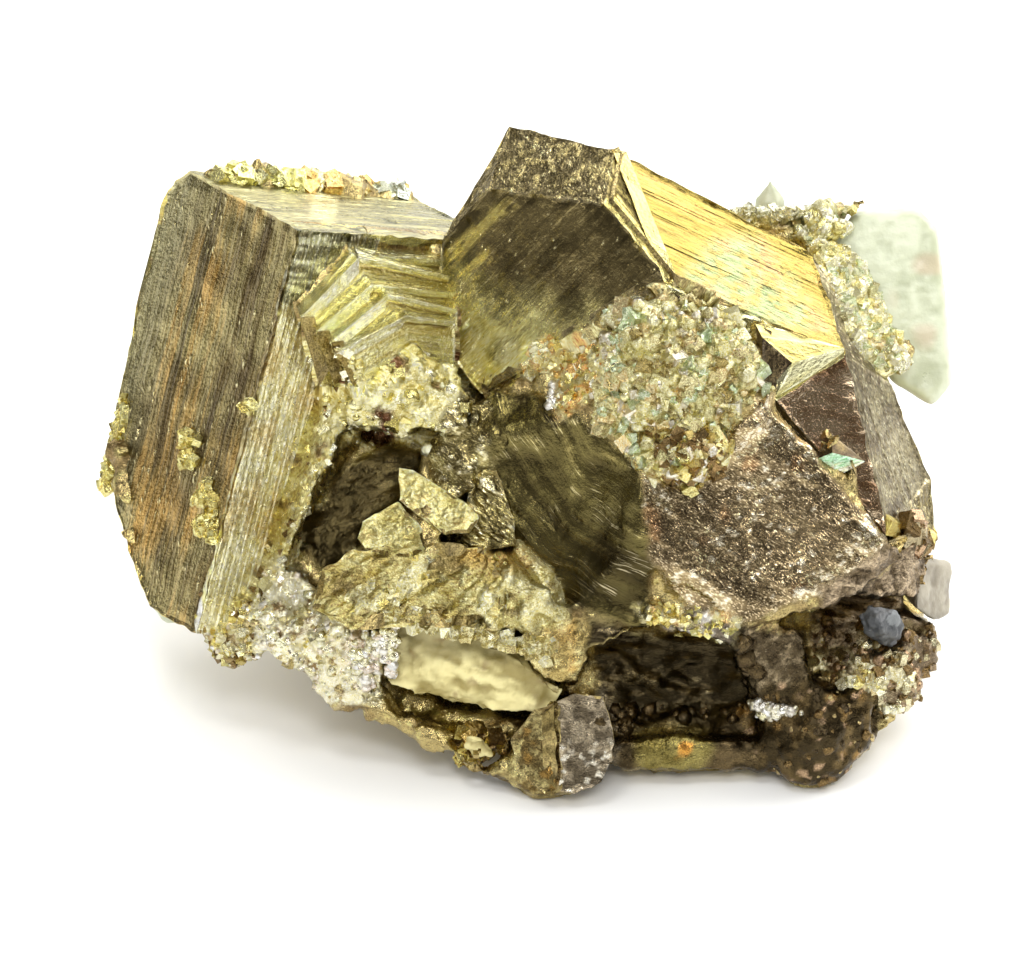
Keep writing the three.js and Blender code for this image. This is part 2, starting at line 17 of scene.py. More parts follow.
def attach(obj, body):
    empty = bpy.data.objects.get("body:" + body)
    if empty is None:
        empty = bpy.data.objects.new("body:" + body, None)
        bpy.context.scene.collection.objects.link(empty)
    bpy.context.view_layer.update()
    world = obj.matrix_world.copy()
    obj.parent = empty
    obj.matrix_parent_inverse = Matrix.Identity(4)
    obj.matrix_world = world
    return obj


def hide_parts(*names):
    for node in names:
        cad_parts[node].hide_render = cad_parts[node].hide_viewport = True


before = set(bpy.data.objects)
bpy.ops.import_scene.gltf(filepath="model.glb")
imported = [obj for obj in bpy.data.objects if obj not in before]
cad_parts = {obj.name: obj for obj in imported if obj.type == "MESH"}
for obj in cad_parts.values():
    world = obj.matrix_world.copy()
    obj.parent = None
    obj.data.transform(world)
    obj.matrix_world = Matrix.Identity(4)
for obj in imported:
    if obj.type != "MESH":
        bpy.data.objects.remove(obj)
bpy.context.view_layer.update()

MM = 0.001
FACE_TILT = math.radians(30)  # the show face looks out this far above level
# Rows say where u, v and w point in the row frame.
AXES = np.array([
    [1, 0, 0],
    [0, math.sin(FACE_TILT), math.cos(FACE_TILT)],
    [0, -math.cos(FACE_TILT), math.sin(FACE_TILT)],
])
POINT_TIP = np.array([21.9, 25.9, -6.2])  # the quartz point's tip, which fixes the frame's origin

# The broad crystal: a long cube's near top corner, its edges and its size.
BROAD_CORNER = np.array([-20.5, 21.0, 12.0])
BROAD_DOWN = (-0.244, -0.944, -0.222)
BROAD_BACK = (-0.6, 0.328, -0.729)
BROAD_ACROSS = 24.0
BROAD_STRIP = 9.6  # how much of its front is left free by the growth steps
# Its outline from the side: how far back and how far down.
BROAD_SIDE = [
    (0, 0), (16.5, 0), (18.2, 1.4), (19.3, 4.1), (19.2, 12), (18, 28), (14.9, 31.7),
    (11.4, 34.8), (6.9, 38.3), (0, 38.3),
]

TALL_POINTS = [
    (-1.6, 30.4, 1.5), (7.8, 28.2, 6.5), (6.8, 23.4, 9.8), (-3.7, 24.8, 4.1), (-7.9, 19.8, 2.0),
    (-7.9, 11.2, 2.2), (-4.3, 6.3, 4.2), (2.9, 10.3, 7.9), (6.5, 14.8, 9.7), (12.6, 16.4, 12.9),
    (2.0, 24.0, -11), (10, 20, -12), (-5, 10, -12), (-3, 20, -11),
]
SIDE_POINTS = [
    (7.5, 28.3, 6.7), (25.6, 18.9, 2.6), (28.5, 9.8, 8.0), (12.2, 16.3, 13.05), (32.6, 7.2, 1.0),
    (36.2, -1.3, -2.0), (36.7, -7.6, -3.0), (32.1, -6.3, 8.0), (22.2, 5.8, 11.5),
    (14.6, 14.8, 12.6), (9, 21, -12), (25, 9, -16), (33, 0, -14),
]
# Two sharp little steps on its mirror face, the second one pale green.
BRIGHT_STEP = [
    (20.3, 12.6, 11.6), (28.3, 10.5, 8.6), (23.6, 9.1, 11.9), (22.0, 6.0, 12.6), (20.9, 6.1, 13.0),
    (20.9, 11.4, 12.3), (28.3, 9.6, 8.5), (23, 9, 5),
]
TEAL_STEP = [
    (25.1, 0.2, 10.9), (27.2, 1.1, 10.9), (30.2, 0.3, 9.4), (27.5, -1.1, 9.8), (27.2, 2.7, 9.5),
    (27.5, 0, 7.5),
]
# A wedge under the ridge that the tall and the side crystal share.
SHARED_RIDGE = [
    (7.8, 28.2, 6.5), (6.8, 23.4, 9.8), (12.6, 16.4, 12.9), (11.4, 26.3, 5.7), (15.8, 15.1, 11.9),
    (12, 20, -4),
]
SIDE_GRAIN = (0.913, -0.409, -0.24)  # the ribs on the side crystal's bright face run this way

# ---- Colours of clean, stained and tarnished pyrite ----
BRASS = (0.68, 0.56, 0.19)
STRAW = (0.84, 0.75, 0.33)
PALE = (0.93, 0.90, 0.66)
BRONZE = (0.42, 0.29, 0.19)
UMBER = (0.20, 0.135, 0.06)
# Near black, used as painted shade on the shaded underside.
SHADE_BLACK = (0.06, 0.045, 0.028)
TEAL = (0.48, 0.66, 0.48)
ROSE = (0.78, 0.52, 0.40)
WHITE_METAL = (0.97, 0.94, 0.88)
# Palettes of the small crystals.
DRUSE_TONES = [
    (0.84, 0.79, 0.46), (0.80, 0.75, 0.42), (0.72, 0.68, 0.38), (0.90, 0.86, 0.56), (0.66, 0.78, 0.56),
    (0.90, 0.86, 0.54), (0.86, 0.70, 0.40), (0.92, 0.86, 0.74), (0.62, 0.56, 0.32), (0.46, 0.38, 0.17),
]
SILVERY = [WHITE_METAL, (0.96, 0.91, 0.66), PALE, PALE, (0.98, 0.88, 0.74), (0.62, 0.52, 0.28)]
STAINED = [(0.86, 0.78, 0.44), (0.80, 0.56, 0.26), PALE]
GOLDEN = [BRASS, STRAW, (0.66, 0.57, 0.20), (0.90, 0.84, 0.40)]
ROSY = [WHITE_METAL, (0.98, 0.86, 0.78), PALE, (0.96, 0.92, 0.80)]
BROWNS = [UMBER, UMBER, (0.30, 0.20, 0.09), (0.50, 0.40, 0.15), STRAW]
EAST_TONES = [STRAW, PALE, (0.80, 0.76, 0.46), (0.66, 0.74, 0.50), PALE]
ORANGE_TONES = [(0.80, 0.50, 0.20), STRAW, PALE]
RUBBLE_TONES = [STRAW, PALE, (0.95, 0.92, 0.70)]
LIP_TONES = [(0.62, 0.54, 0.27), (0.80, 0.73, 0.42), PALE]
# Near-black grains, used as painted shade along the hollow.
SHADE_BLACKS = [SHADE_BLACK, (0.05, 0.04, 0.025), (0.09, 0.065, 0.035)]
DULL_STRAW = [(0.7, 0.64, 0.44), (0.3, 0.23, 0.16), UMBER]


# ---- The working frame ----
def node_points(name):
    """The CAD node's corners, as rows of metres."""
    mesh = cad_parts[name].data
    points = np.empty(3 * len(mesh.vertices))
    mesh.vertices.foreach_get("co", points)
    return points.reshape(-1, 3)


tip_corners = node_points("quartz_point")
ORIGIN = tip_corners[tip_corners[:, 2].argmax()] / MM - POINT_TIP @ AXES


def to_row(points):
    """Working millimetres to metres in the row frame."""
    return (points @ AXES + ORIGIN) * MM


def to_work(points):
    """Metres in the row frame to working millimetres."""
    return (points / MM - ORIGIN) @ AXES.T


def unit(vector):
    """The vector, or each row, at length one."""
    vector = np.asarray(vector, float)
    return vector / np.linalg.norm(vector, axis=-1, keepdims=True)


# ---- Noise on whole arrays of points ----
def cell_share(cells, salt):
    """A repeatable share, 0 to 1, for each whole-number cell: multiply, fold and mix its bits."""
    c = cells.astype(np.int64).astype(np.uint64)
    h = c[..., 0] * np.uint64(0x9E3779B1) + c[..., 1] * np.uint64(0x85EBCA77)
    h = h + c[..., 2] * np.uint64(0xC2B2AE3D) + np.uint64(salt * 0x27D4EB2F + 1)
    h = (h ^ (h >> np.uint64(15))) * np.uint64(0x2C1B3C6D)
    h = (h ^ (h >> np.uint64(12))) * np.uint64(0x297A2D39)
    h = h ^ (h >> np.uint64(15))
    return (h & np.uint64(0xFFFFFF)).astype(float) / 0xFFFFFF


def eased(t):
    """A share, 0 to 1, that sets off and arrives slowly: t*t*(3 - 2t)."""
    return t * t * (3 - 2 * t)


def smooth_noise(points, salt):
    """Value noise, -1 to 1: shares at the eight cell corners, blended by eased places."""
    low = np.floor(points)
    t = eased(points - low)
    total = 0
    for corner in np.ndindex(2, 2, 2):
        corner = np.array(corner)
        weight = np.prod(np.where(corner == 1, t, 1 - t), axis=-1)
        total = total + weight * cell_share(low + corner, salt)
    return 2 * total - 1


def rough_noise(points, salt, octaves=3, gain=0.5):
    """Smooth noise added at halving sizes, each octave gain times as strong as the last."""
    total = 0
    strength = 1
    for octave in range(octaves):
        total = total + strength * smooth_noise(points * 2**octave + 17.3 * octave, salt + octave)
        strength *= gain
    return total


def spin_table(count, seed):
    """count random turns, each the orthonormal part of a random matrix."""
    random = np.random.default_rng(seed)
    return np.linalg.qr(random.normal(size=(count, 3, 3)))[0]


SPINS = spin_table(32, 5)


def cube_lumps(points, size, salt, reach=0.62):
    """How far random cubes stand out over the points, and each winning cube's share.

    Every cell holds one cube at a jittered place and turn. A cube stands out by its reach less
    the largest distance along its own axes, and the highest cube wins.
    """
    scaled = points / size
    low = np.floor(scaled)
    height = np.zeros(points.shape[:-1])
    share = np.zeros_like(height)
    for step in np.ndindex(3, 3, 3):
        cell = low + np.array(step) - 1
        jitter = np.stack([cell_share(cell, salt + axis) for axis in range(3)], axis=-1)
        own = cell_share(cell, salt + 3)
        spin = SPINS[(own * (len(SPINS) - 1)).astype(int)]
        away = np.einsum("nij,nj->ni", spin, scaled - cell - 0.2 - 0.6 * jitter)
        stand = reach * (0.65 + 0.35 * jitter[:, 0]) - np.abs(away).max(axis=-1)
        wins = stand > height
        height = np.where(wins, stand, height)
        share = np.where(wins, own, share)
    return height * size, share


def streaks(x, y, length, width, salt):
    """Bands one width across: each has its own share, -1 to 1, that drifts along its length."""
    band = np.floor(y / width)
    nothing = np.zeros_like(band)
    start = 97 * cell_share(np.stack([band, nothing, nothing], axis=-1), salt)
    place = x / length + start
    low = np.floor(place)
    t = eased(place - low)
    here = cell_share(np.stack([band, low, nothing], axis=-1), salt + 1)
    there = cell_share(np.stack([band, low + 1, nothing], axis=-1), salt + 1)
    return 2 * (here + t * (there - here)) - 1


def ramp(value, start, end):
    """0 before start, 1 after end, and eased between."""
    return eased(np.clip((value - start) / (end - start), 0, 1))


def mixed(first, second, share):
    """The colour, or value, a share of the way from first to second."""
    first, second = np.asarray(first, float), np.asarray(second, float)
    share = np.asarray(share)
    if first.ndim and first.shape[-1] == 3 or second.ndim and second.shape[-1] == 3:
        share = share[..., None]
    return first + (second - first) * share


def within(points, outline, soft=0.5):
    """1 inside an outline on the show face and 0 outside, by the distance to its nearest side."""
    start = np.array(outline, float)
    side = np.roll(start, -1, axis=0) - start
    away = points[:, None, :2] - start
    t = np.clip((away * side).sum(-1) / (side * side).sum(-1), 0, 1)
    distance = np.linalg.norm(away - t[..., None] * side, axis=-1).min(axis=1)
    above = away[..., 1] >= 0
    below = (away - side)[..., 1] < 0
    rising = above & below & (side[:, 1] > 0)
    falling = ~above & ~below & (side[:, 1] < 0)
    turn = side[:, 0] * away[..., 1] - side[:, 1] * away[..., 0]
    wound = (rising & (turn > 0)).sum(1) - (falling & (turn < 0)).sum(1)
    return ramp(np.where(wound != 0, distance, -distance), -soft, soft)


# ---- Skins: points, faces and what is painted on them ----
class Skin(NamedTuple):
    points: np.ndarray  # working millimetres
    quads: np.ndarray  # rows of four corners
    tone: np.ndarray  # colour at each corner
    rough: np.ndarray  # roughness at each corner
    caps: list = []  # closing faces with many corners
    flow: np.ndarray = None  # each corner's place in the fine grain, shortened along it, in mm
    spark: np.ndarray = None  # how many of its finest grains glint

    def fine_grain(self):
        """Each corner's flow and spark: its own place and no sparks where none are stated."""
        flow = self.points if self.flow is None else self.flow
        spark = np.zeros(len(self.points)) if self.spark is None else self.spark
        return flow, spark


def joined(skins):
    """Several skins as one, with their corners counted on from each other."""
    starts = np.cumsum([0] + [len(skin.points) for skin in skins])
    caps = [cap + start for skin, start in zip(skins, starts) for cap in skin.caps]
    flows, sparks = zip(*(skin.fine_grain() for skin in skins))
    return Skin(
        np.concatenate([skin.points for skin in skins]),
        np.concatenate([skin.quads + start for skin, start in zip(skins, starts)]),
        np.concatenate([skin.tone for skin in skins]),
        np.concatenate([skin.rough for skin in skins]),
        caps,
        np.concatenate(flows),
        np.concatenate(sparks),
    )


def store(name, skin, smooth=False):
    """A mesh object at the row frame's origin, with what is painted on it kept as attributes."""
    mesh = bpy.data.meshes.new(name)
    mesh.vertices.add(len(skin.points))
    mesh.vertices.foreach_set("co", to_row(skin.points).astype(np.float32).ravel())
    corners = np.concatenate([skin.quads.ravel()] + skin.caps).astype(np.int32)
    sizes = np.array([4] * len(skin.quads) + [len(cap) for cap in skin.caps], np.int32)
    mesh.loops.add(len(corners))
    mesh.loops.foreach_set("vertex_index", corners)
    mesh.polygons.add(len(sizes))
    starts = np.concatenate([[0], np.cumsum(sizes)[:-1]]).astype(np.int32)
    mesh.polygons.foreach_set("loop_start", starts)
    mesh.update(calc_edges=True)
    mesh.polygons.foreach_set("use_smooth", (sizes == 4) & smooth)
    if smooth:
        mesh.set_sharp_from_angle(angle=math.radians(75))
    flow, spark = skin.fine_grain()
    painted = (
        ("tone", "FLOAT_COLOR", "color", np.column_stack([np.clip(skin.tone, 0, 1), np.ones(len(spark))])),
        ("rough", "FLOAT", "value", np.clip(skin.rough, 0.02, 1)),
        ("flow", "FLOAT_VECTOR", "vector", flow),
        ("spark", "FLOAT", "value", spark),
    )
    for label, kind, field, values in painted:
        layer = mesh.attributes.new(label, kind, "POINT")
        layer.data.foreach_set(field, values.astype(np.float32).ravel())
    obj = bpy.data.objects.new(name, mesh)
    bpy.context.collection.objects.link(obj)
    return obj


def grid_faces(rows, columns):
    """Four-cornered faces of a rows by columns grid of points."""
    index = np.arange(rows * columns).reshape(rows, columns)
    quads = [index[:-1, :-1], index[:-1, 1:], index[1:, 1:], index[1:, :-1]]
    return np.stack(quads, axis=-1).reshape(-1, 4)


def pyrite_piece(name, skin, finish, smooth=False):
    """A finished pyrite piece, which stands for the cluster."""
    piece = store(name, skin, smooth)
    piece.data.materials.append(finish)
    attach(piece, "root")
    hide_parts("pyrite_cluster")


# ---- Flat crystal faces ----
EDGE = 0.02  # rows stop this short of a face's corners
SKIRT = 1.2  # how deep and how far in a face's border is carried
WORN = 0.16  # how far worn edges wander


def edge_gap(x, y, start, side):
    """How far each place in a flat outline lies from its nearest side."""
    turn = side[:, 0] * (y[..., None] - start[:, 1]) - side[:, 1] * (x[..., None] - start[:, 0])
    return (turn / np.linalg.norm(side, axis=1)).min(axis=-1)


def crystal_face(corners, grain, look, pitch, frayed=WORN):
    """A flat face ruled with lines along the grain, from side to side of its outline.

    Row y crosses the outline between two places, and a point is that share of the way from one
    to the other, lowered by what look says. Near the sides the lowering fades and one field of
    noise moves every face alike, so that faces still meet along their worn edges. The border
    goes in to a smaller outline and a cap. look(x, y, points) gives how far the surface is sunk,
    its tone, its roughness and, where it has its own, its flow.
    """
    corners = np.asarray(corners, float)
    normal = face_normal(corners)
    along = unit(grain - normal * (np.asarray(grain) @ normal))
    over = np.cross(normal, along)
    middle = corners.mean(axis=0)
    start = (corners - middle) @ np.column_stack([along, over])
    side = np.roll(start, -1, axis=0) - start
    low, high = start[:, 1].min() + EDGE, start[:, 1].max() - EDGE
    rows = max(4, round((high - low) / pitch[1]))
    y = np.linspace(low, high, rows)
    rise = np.where(np.abs(side[:, 1]) < 1e-9, 1e-9, side[:, 1])
    share = (y[:, None] - start[:, 1]) / rise
    crossing = start[:, 0] + share * side[:, 0]
    met = (share >= 0) & (share <= 1)
    left = np.where(met, crossing, np.inf).min(axis=1)
    right = np.where(met, crossing, -np.inf).max(axis=1)
    columns = max(4, round((right - left).max() / pitch[0]))
    x = left[:, None] + np.linspace(0, 1, columns) * (right - left)[:, None]
    y = np.repeat(y[:, None], columns, axis=1)
    flat = (middle + x[..., None] * along + y[..., None] * over).reshape(-1, 3)
    gap = edge_gap(x, y, start, side).ravel()
    reach = np.linalg.norm(start, axis=1).max()
    near = 1 - ramp(gap, 0, min(1.2, 0.3 * reach))
    wander = np.stack([rough_noise(flat / 1.3, 20 + 3 * axis, 2) for axis in range(3)], axis=-1)
    sink, tone, rough, *placed = look(x.ravel(), y.ravel(), flat)
    rough = np.zeros(len(flat)) + rough
    sink = sink * ramp(gap, -0.05, min(0.3, 0.08 * reach))
    # Painted highlight: the tone is lightened in a thin band along each face's edges.
    rim = ramp(gap, 0.35, 0.05) * ramp(wander[:, 0], -0.6, 0.5)
    tone = mixed(tone, tone * 1.5 + 0.04, rim)
    points = flat - sink[:, None] * normal + frayed * near[:, None] * wander
    lined, sparks = FACE_GRAINS.get(look, PLAIN_GRAIN)
    own = np.column_stack([x.ravel(), y.ravel(), np.full(x.size, middle.sum())])
    flow = (placed[0] if placed else own) / (lined, 1, 1)
    spark = np.full(x.size, sparks)
    index = np.arange(rows * columns).reshape(rows, columns)
    border = np.concatenate([index[0], index[1:, -1], index[-1, -2::-1], index[-2:0:-1, 0]])
    keep = max(0.4, 1 - SKIRT / reach)
    deep = min(SKIRT, 0.4 * reach)
    inner = middle + keep * (flat[border] - middle) - deep * normal
    inner_index = len(points) + np.arange(len(border))
    ahead, inner_ahead = np.roll(border, -1), np.roll(inner_index, -1)
    skirt = np.stack([ahead, border, inner_index, inner_ahead], axis=-1)
    return Skin(
        np.concatenate([points, inner]),
        np.concatenate([grid_faces(rows, columns), skirt]),
        np.concatenate([tone, tone[border]]),
        np.concatenate([rough, rough[border]]),
        [inner_index[::-1]],
        np.concatenate([flow, flow[border] + (0, 0, deep)]),
        np.concatenate([spark, spark[border]]),
    )


def hull_faces(points, flat_within=3.0):
    """The corners of each face of the smallest flat-sided body round some points."""
    body = bmesh.new()
    for point in points:
        body.verts.new(point)
    bmesh.ops.convex_hull(body, input=body.verts)
    angle = math.radians(flat_within)
    bmesh.ops.dissolve_limit(body, angle_limit=angle, verts=body.verts, edges=body.edges)
    faces = [np.array([corner.co for corner in face.verts]) for face in body.faces]
    body.free()
    return faces


def face_normal(corners):
    """A flat face's outward direction."""
    return unit(np.cross(corners, np.roll(corners, -1, axis=0)).sum(axis=0))


def sunk_under(points, faces, deep=0.8):
    """Points near or in a flat-sided body, moved through its nearest face to lie deep under it.

    Also gives each point's share: 1 up to 0.4 mm outside the body and 0 from 0.9 mm.
    """
    normals = np.array([face_normal(corners) for corners in faces])
    levels = np.array([corners[0] @ normal for corners, normal in zip(faces, normals)])
    heights = points @ normals.T - levels
    nearest = heights.argmax(axis=1)
    height = heights[np.arange(len(points)), nearest]
    share = ramp(height, 0.9, 0.4)
    return points - (share * np.maximum(0, height + deep))[:, None] * normals[nearest], share


# ---- How each crystal face looks ----
def scratches(x, y, salt, depth=0.3):
    """Growth lines: wide, middling and narrow bands added, all at or under the flat face."""
    wide = streaks(x, y, 14, 1.3, salt)
    middling = streaks(x, y, 7, 0.42, salt + 2)
    narrow = streaks(x, y, 3, 0.14, salt + 4)
    return depth * (0.5 - 0.2 * wide - 0.18 * middling - 0.12 * narrow)


def flecks(x, y, long, wide, few, salt):
    """Scattered specks, long by wide: 1 where a cell's share passes few, with ragged borders."""
    ragged = np.stack([x / long, y / wide, 0 * x], axis=-1)
    ragged = ragged + 0.5 * smooth_noise(ragged * 1.7, salt)[:, None]
    return ramp(cell_share(np.floor(ragged), salt + 1), few, few + 0.01)


def beads(x, y, size, few, salt):
    """Tiny drops of gold strung along the grain: specks that keep to some of the lines."""
    strung = ramp(streaks(x, y, 6, 1.6 * size, salt), 0.1, 0.7)
    return strung * flecks(x, y, 1.5 * size, size, few, salt + 2)


ORANGE_STAIN = [(-31.5, 17), (-28, 17.5), (-30.5, 4), (-34.5, -9), (-36, -8)]


def weathered_side(x, y, points):
    """The broad crystal's left face: olive-brown bands, orange streaks, and beads lightened as painted
    glints.
    """
    wavy = y + 0.25 * smooth_noise(points / 4.0, 42)
    band = streaks(x, wavy, 17, 1.5, 43) + 0.6 * streaks(x, wavy, 10, 0.55, 44)
    fine = streaks(x, wavy, 7, 0.2, 48)
    cloud = rough_noise(points / 6.0, 45, 2)
    sink = scratches(x, wavy, 40, 0.26) + 0.12 * rough_noise(points / 3.0, 41, 2)
    share = ramp(cloud + 0.5 * band + 0.45 * fine, -0.7, 1.0)
    tone = mixed((0.14, 0.10, 0.04), (0.42, 0.37, 0.18), share)
    stain = within(points, ORANGE_STAIN, 2.5) + 0.9 * smooth_noise(points / 5.0, 46)
    orange = ramp(0.6 * band + 0.4 * fine + stain, 0.2, 1.4)
    tone = mixed(tone, (0.60, 0.37, 0.11), 0.85 * orange)
    tone = mixed(tone, (0.07, 0.052, 0.026), 0.8 * ramp(-band - 0.6 * fine, 0.5, 1.5))
    tone = mixed(tone, (0.62, 0.60, 0.36), 0.7 * ramp(points[:, 0] + 0.32 * (20 - points[:, 1]), -27, -35))
    glint_bead = beads(x, wavy, 0.2, 0.9, 47)
    # Painted glints: the small raised beads are lightened to pale gold.
    tone = mixed(tone, (0.95, 0.86, 0.52), glint_bead)
    return sink - 0.08 * glint_bead, tone * 0.92, 0.195 - 0.03 * glint_bead + 0.02 * cloud


def glitter_strip(x, y, points):
    """The broad crystal's front: bright gold in long grooves, ruled across near its top."""
    shimmer = rough_noise(np.stack([x / 0.8, y / 0.3, 0 * x], axis=-1), 52)
    groove = streaks(x, y, 40, 1.5, 53) + 0.8 * streaks(x, y, 22, 0.5, 54) + 0.4 * streaks(x, y, 12, 0.2, 58)
    dark = ramp(-groove, 0.25, 1.0)
    tone = mixed((0.76, 0.68, 0.30), (0.98, 0.95, 0.66), ramp(0.6 * shimmer + 0.5 * groove, -0.8, 0.6))
    tone = mixed(tone, (0.18, 0.125, 0.045), 0.9 * dark)
    amber = ramp(smooth_noise(points / 3.0, 56) + 0.4 * groove, 0.3, 0.9)
    tone = mixed(tone, (0.62, 0.40, 0.12), 0.5 * amber)
    ruled = ramp(x + 0.5 * smooth_noise(points / 1.0, 57), -10.5, -12.5)
    rule = streaks(y, x, 2.5, 0.2, 59)
    ruling = mixed((0.05, 0.055, 0.035), (0.85, 0.88, 0.68), ramp(rule, 0.1, 0.9))
    tone = mixed(tone, ruling, 0.85 * ruled)
    sink = 0.22 - 0.16 * groove - 0.02 * shimmer + 0.2 * dark
    return sink, tone, 0.32 + 0.04 * dark


# A pale band on the top: painted highlight.
PAINTED_HIGHLIGHT_BAND = [(-19.0, 27.2), (-16.6, 27.2), (-17.4, 21.6), (-19.6, 22.4)]


def worn_top(x, y, points):
    """The broad crystal's top: worn olive, scratched across, with dark patches near its front and a painted
    highlight band.
    """
    wavy = y + 0.4 * smooth_noise(points / 4.0, 60)
    band = streaks(x, wavy, 14, 0.9, 61) + 0.6 * streaks(x, wavy, 8, 0.3, 62)
    tone = mixed((0.27, 0.26, 0.14), (0.52, 0.49, 0.27), ramp(band, -0.8, 1.0))
    front = ramp(points[:, 2], 3.5, 8.5)
    dark = ramp(rough_noise(stretched(points, (1, -0.3, 0), 2.2) / 1.6, 63) + 0.7 * front, 0.45, 0.95)
    tone = mixed(tone, (0.10, 0.115, 0.085), 0.85 * dark)
    # Painted highlight band.
    tone = mixed(tone, (0.80, 0.76, 0.44), 0.8 * within(points, PAINTED_HIGHLIGHT_BAND, 0.3))
    return scratches(x, wavy, 65, 0.16) + 0.12 * dark, tone, 0.32 + 0.04 * band


GOLD_STREAKS = [
    [(-7.6, 19.0), (-3.4, 23.0), (-1.2, 24.2), (-1.0, 23.2), (-3.4, 21.6), (-7.0, 17.6)],
    [(-7.0, 17.0), (-3.6, 19.4), (-3.4, 18.4), (-6.6, 15.0)],
]


def dark_mirror(x, y, points):
    """The tall crystal's broad face: dark olive-brown, lighter olive low down, gold sparks."""
    roll = rough_noise(points / 1.6, 71)
    height = points[:, 1] + 0.35 * (points[:, 0] + 2)
    low = ramp(height + 2.0 * smooth_noise(points / 3.0, 72), 19.0, 10.5)
    tone = mixed((0.19, 0.155, 0.075), (0.86, 0.80, 0.36), low)
    shade = ramp(rough_noise(points / 2.0, 73) + 0.4 * streaks(x, y, 4, 0.5, 77), -0.8, 0.8)
    tone = tone * (0.45 + 0.85 * shade[:, None])
    bright = ramp(points[:, 1] + 1.2 * smooth_noise(points / 1.5, 78), 12.2, 9.6)
    tone = mixed(tone, (0.93, 0.88, 0.50), 0.8 * bright * ramp(roll, -0.5, 0.5))
    gold = np.maximum(within(points, GOLD_STREAKS[0], 0.35), within(points, GOLD_STREAKS[1], 0.4))
    tone = mixed(tone, (0.92, 0.76, 0.26), gold * ramp(streaks(x, y, 5, 0.3, 79) + roll, -0.6, 0.5))
    crowd = ramp(smooth_noise(points / 2.0, 75), -0.1, 0.6)
    speck = crowd * ramp(rough_noise(points / 0.16, 74, 2), 0.72, 0.95)
    tone = mixed(tone, (0.95, 0.88, 0.55), speck)
    sink = 0.06 + 0.03 * streaks(x, y, 9, 0.5, 70) + 0.07 * roll - 0.05 * speck
    return sink, tone, 0.24 + 0.10 * low - 0.08 * speck


def flecked_strip(x, y, points):
    """The tall crystal's narrow upper faces: near black with dense gold flecks."""
    patch = ramp(rough_noise(points / 0.7, 81, 3), -0.1, 0.8)
    tone = mixed((0.17, 0.14, 0.07), (0.52, 0.44, 0.21), patch)
    crowd = ramp(smooth_noise(points / 1.2, 84), -0.7, 0.3)
    speck = ramp(rough_noise(points / 0.17, 82, 2), 0.45, 0.75) * crowd
    tone = mixed(tone, (0.88, 0.78, 0.45), speck)
    sink = 0.10 + 0.06 * streaks(x, y, 3, 0.3, 80) - 0.14 * patch - 0.06 * speck
    return sink, tone, 0.30 - 0.06 * speck


BAND_OUTLINE = [(6.6, 23.8), (8.0, 24.2), (13.4, 16.6), (12.0, 16.4)]


def smooth_band(x, y, points):
    """The smooth yellow band and the dark wedge beside it, where the two crystals meet."""
    band = within(points, BAND_OUTLINE, 0.15)
    tone = mixed((0.16, 0.13, 0.05), (0.62, 0.53, 0.21), band)
    tone = mixed(tone, (0.56, 0.48, 0.18), 0.6 * ramp(streaks(x, y, 4, 0.3, 86), 0.3, 0.7))
    return 0.06 + 0.02 * streaks(x, y, 9, 0.3, 85) - 0.05 * band, tone, 0.24 - 0.03 * band


SHEEN = [(12.8, 15.6), (17.0, 20.6), (21.0, 20.4), (28.4, 11.0), (24.5, 12.0), (19.0, 12.9)]


def bright_ribs(x, y, points):
    """The side crystal's upper face: yellow, ribbed, with thin brown lines and a sheen low down."""
    wavy = y + 0.10 * smooth_noise(points / 3.0, 89)
    wide = streaks(x, wavy, 26, 1.7, 90)
    middling = streaks(x, wavy, 14, 0.62, 91)
    narrow = streaks(x, wavy, 6, 0.2, 92)
    line = ramp(-0.6 * middling - 0.7 * narrow + 0.3 * streaks(x, wavy, 3, 0.11, 93), 0.65, 1.1)
    share = ramp(0.5 * wide + 0.5 * middling + 0.3 * narrow, -0.8, 0.8)
    tone = mixed((0.34, 0.28, 0.075), (0.46, 0.39, 0.12), share)
    tone = mixed(tone, (0.62, 0.42, 0.18), 0.4 * ramp(streaks(x, wavy, 10, 0.9, 94), 0.1, 0.9))
    tone = mixed(tone, (0.27, 0.18, 0.05), 0.65 * line * (1 - 0.6 * within(points, SHEEN, 1.5)))
    low = within(points, SHEEN, 1.0)
    hue = rough_noise(points / 2.2, 96, 2)
    squares = rough_noise(np.stack([x / 0.7, y / 0.5, 0 * x], axis=-1), 97)
    tint = mixed((0.34, 0.47, 0.29), (0.52, 0.39, 0.23), ramp(hue, -0.3, 0.3))
    tint = mixed(tint, (0.48, 0.43, 0.18), ramp(squares, -0.1, 0.5))
    tone = mixed(tone, tint, 0.9 * low)
    sink = 0.10 - 0.06 * wide - 0.03 * middling - 0.008 * narrow + 0.02 * line - 0.04 * low * squares
    return sink, tone * (0.78, 0.73, 0.64), 0.24 + 0.03 * low


def smooth_step(x, y, points):
    """Small clean bands: smooth yellow, with a few soft lines."""
    stripe = streaks(x, y, 9, 0.5, 104)
    share = ramp(stripe + 0.5 * smooth_noise(points / 1.2, 99), -0.6, 0.6)
    tone = mixed((0.40, 0.34, 0.12), (0.52, 0.46, 0.19), share)
    return 0.01 - 0.006 * stripe, tone, 0.2


def striped_step(x, y, points):
    """A small bright step beside the ribbed face: pale, with fine stripes."""
    stripe = streaks(x, y, 12, 0.3, 100)
    tone = mixed((0.56, 0.52, 0.24), (0.76, 0.74, 0.46), ramp(stripe, -0.3, 0.6))
    tone = mixed(tone, (0.30, 0.27, 0.12), 0.7 * ramp(-stripe, 0.5, 0.9))
    return 0.012 - 0.010 * stripe, tone, 0.2


def teal_step(x, y, points):
    """The little pale green facet on the mirror face."""
    stripe = streaks(x, y, 4, 0.3, 102)
    tone = mixed((0.42, 0.70, 0.50), (0.80, 0.80, 0.60), ramp(stripe, -0.2, 0.7))
    return 0.03 - 0.02 * stripe, tone, 0.32


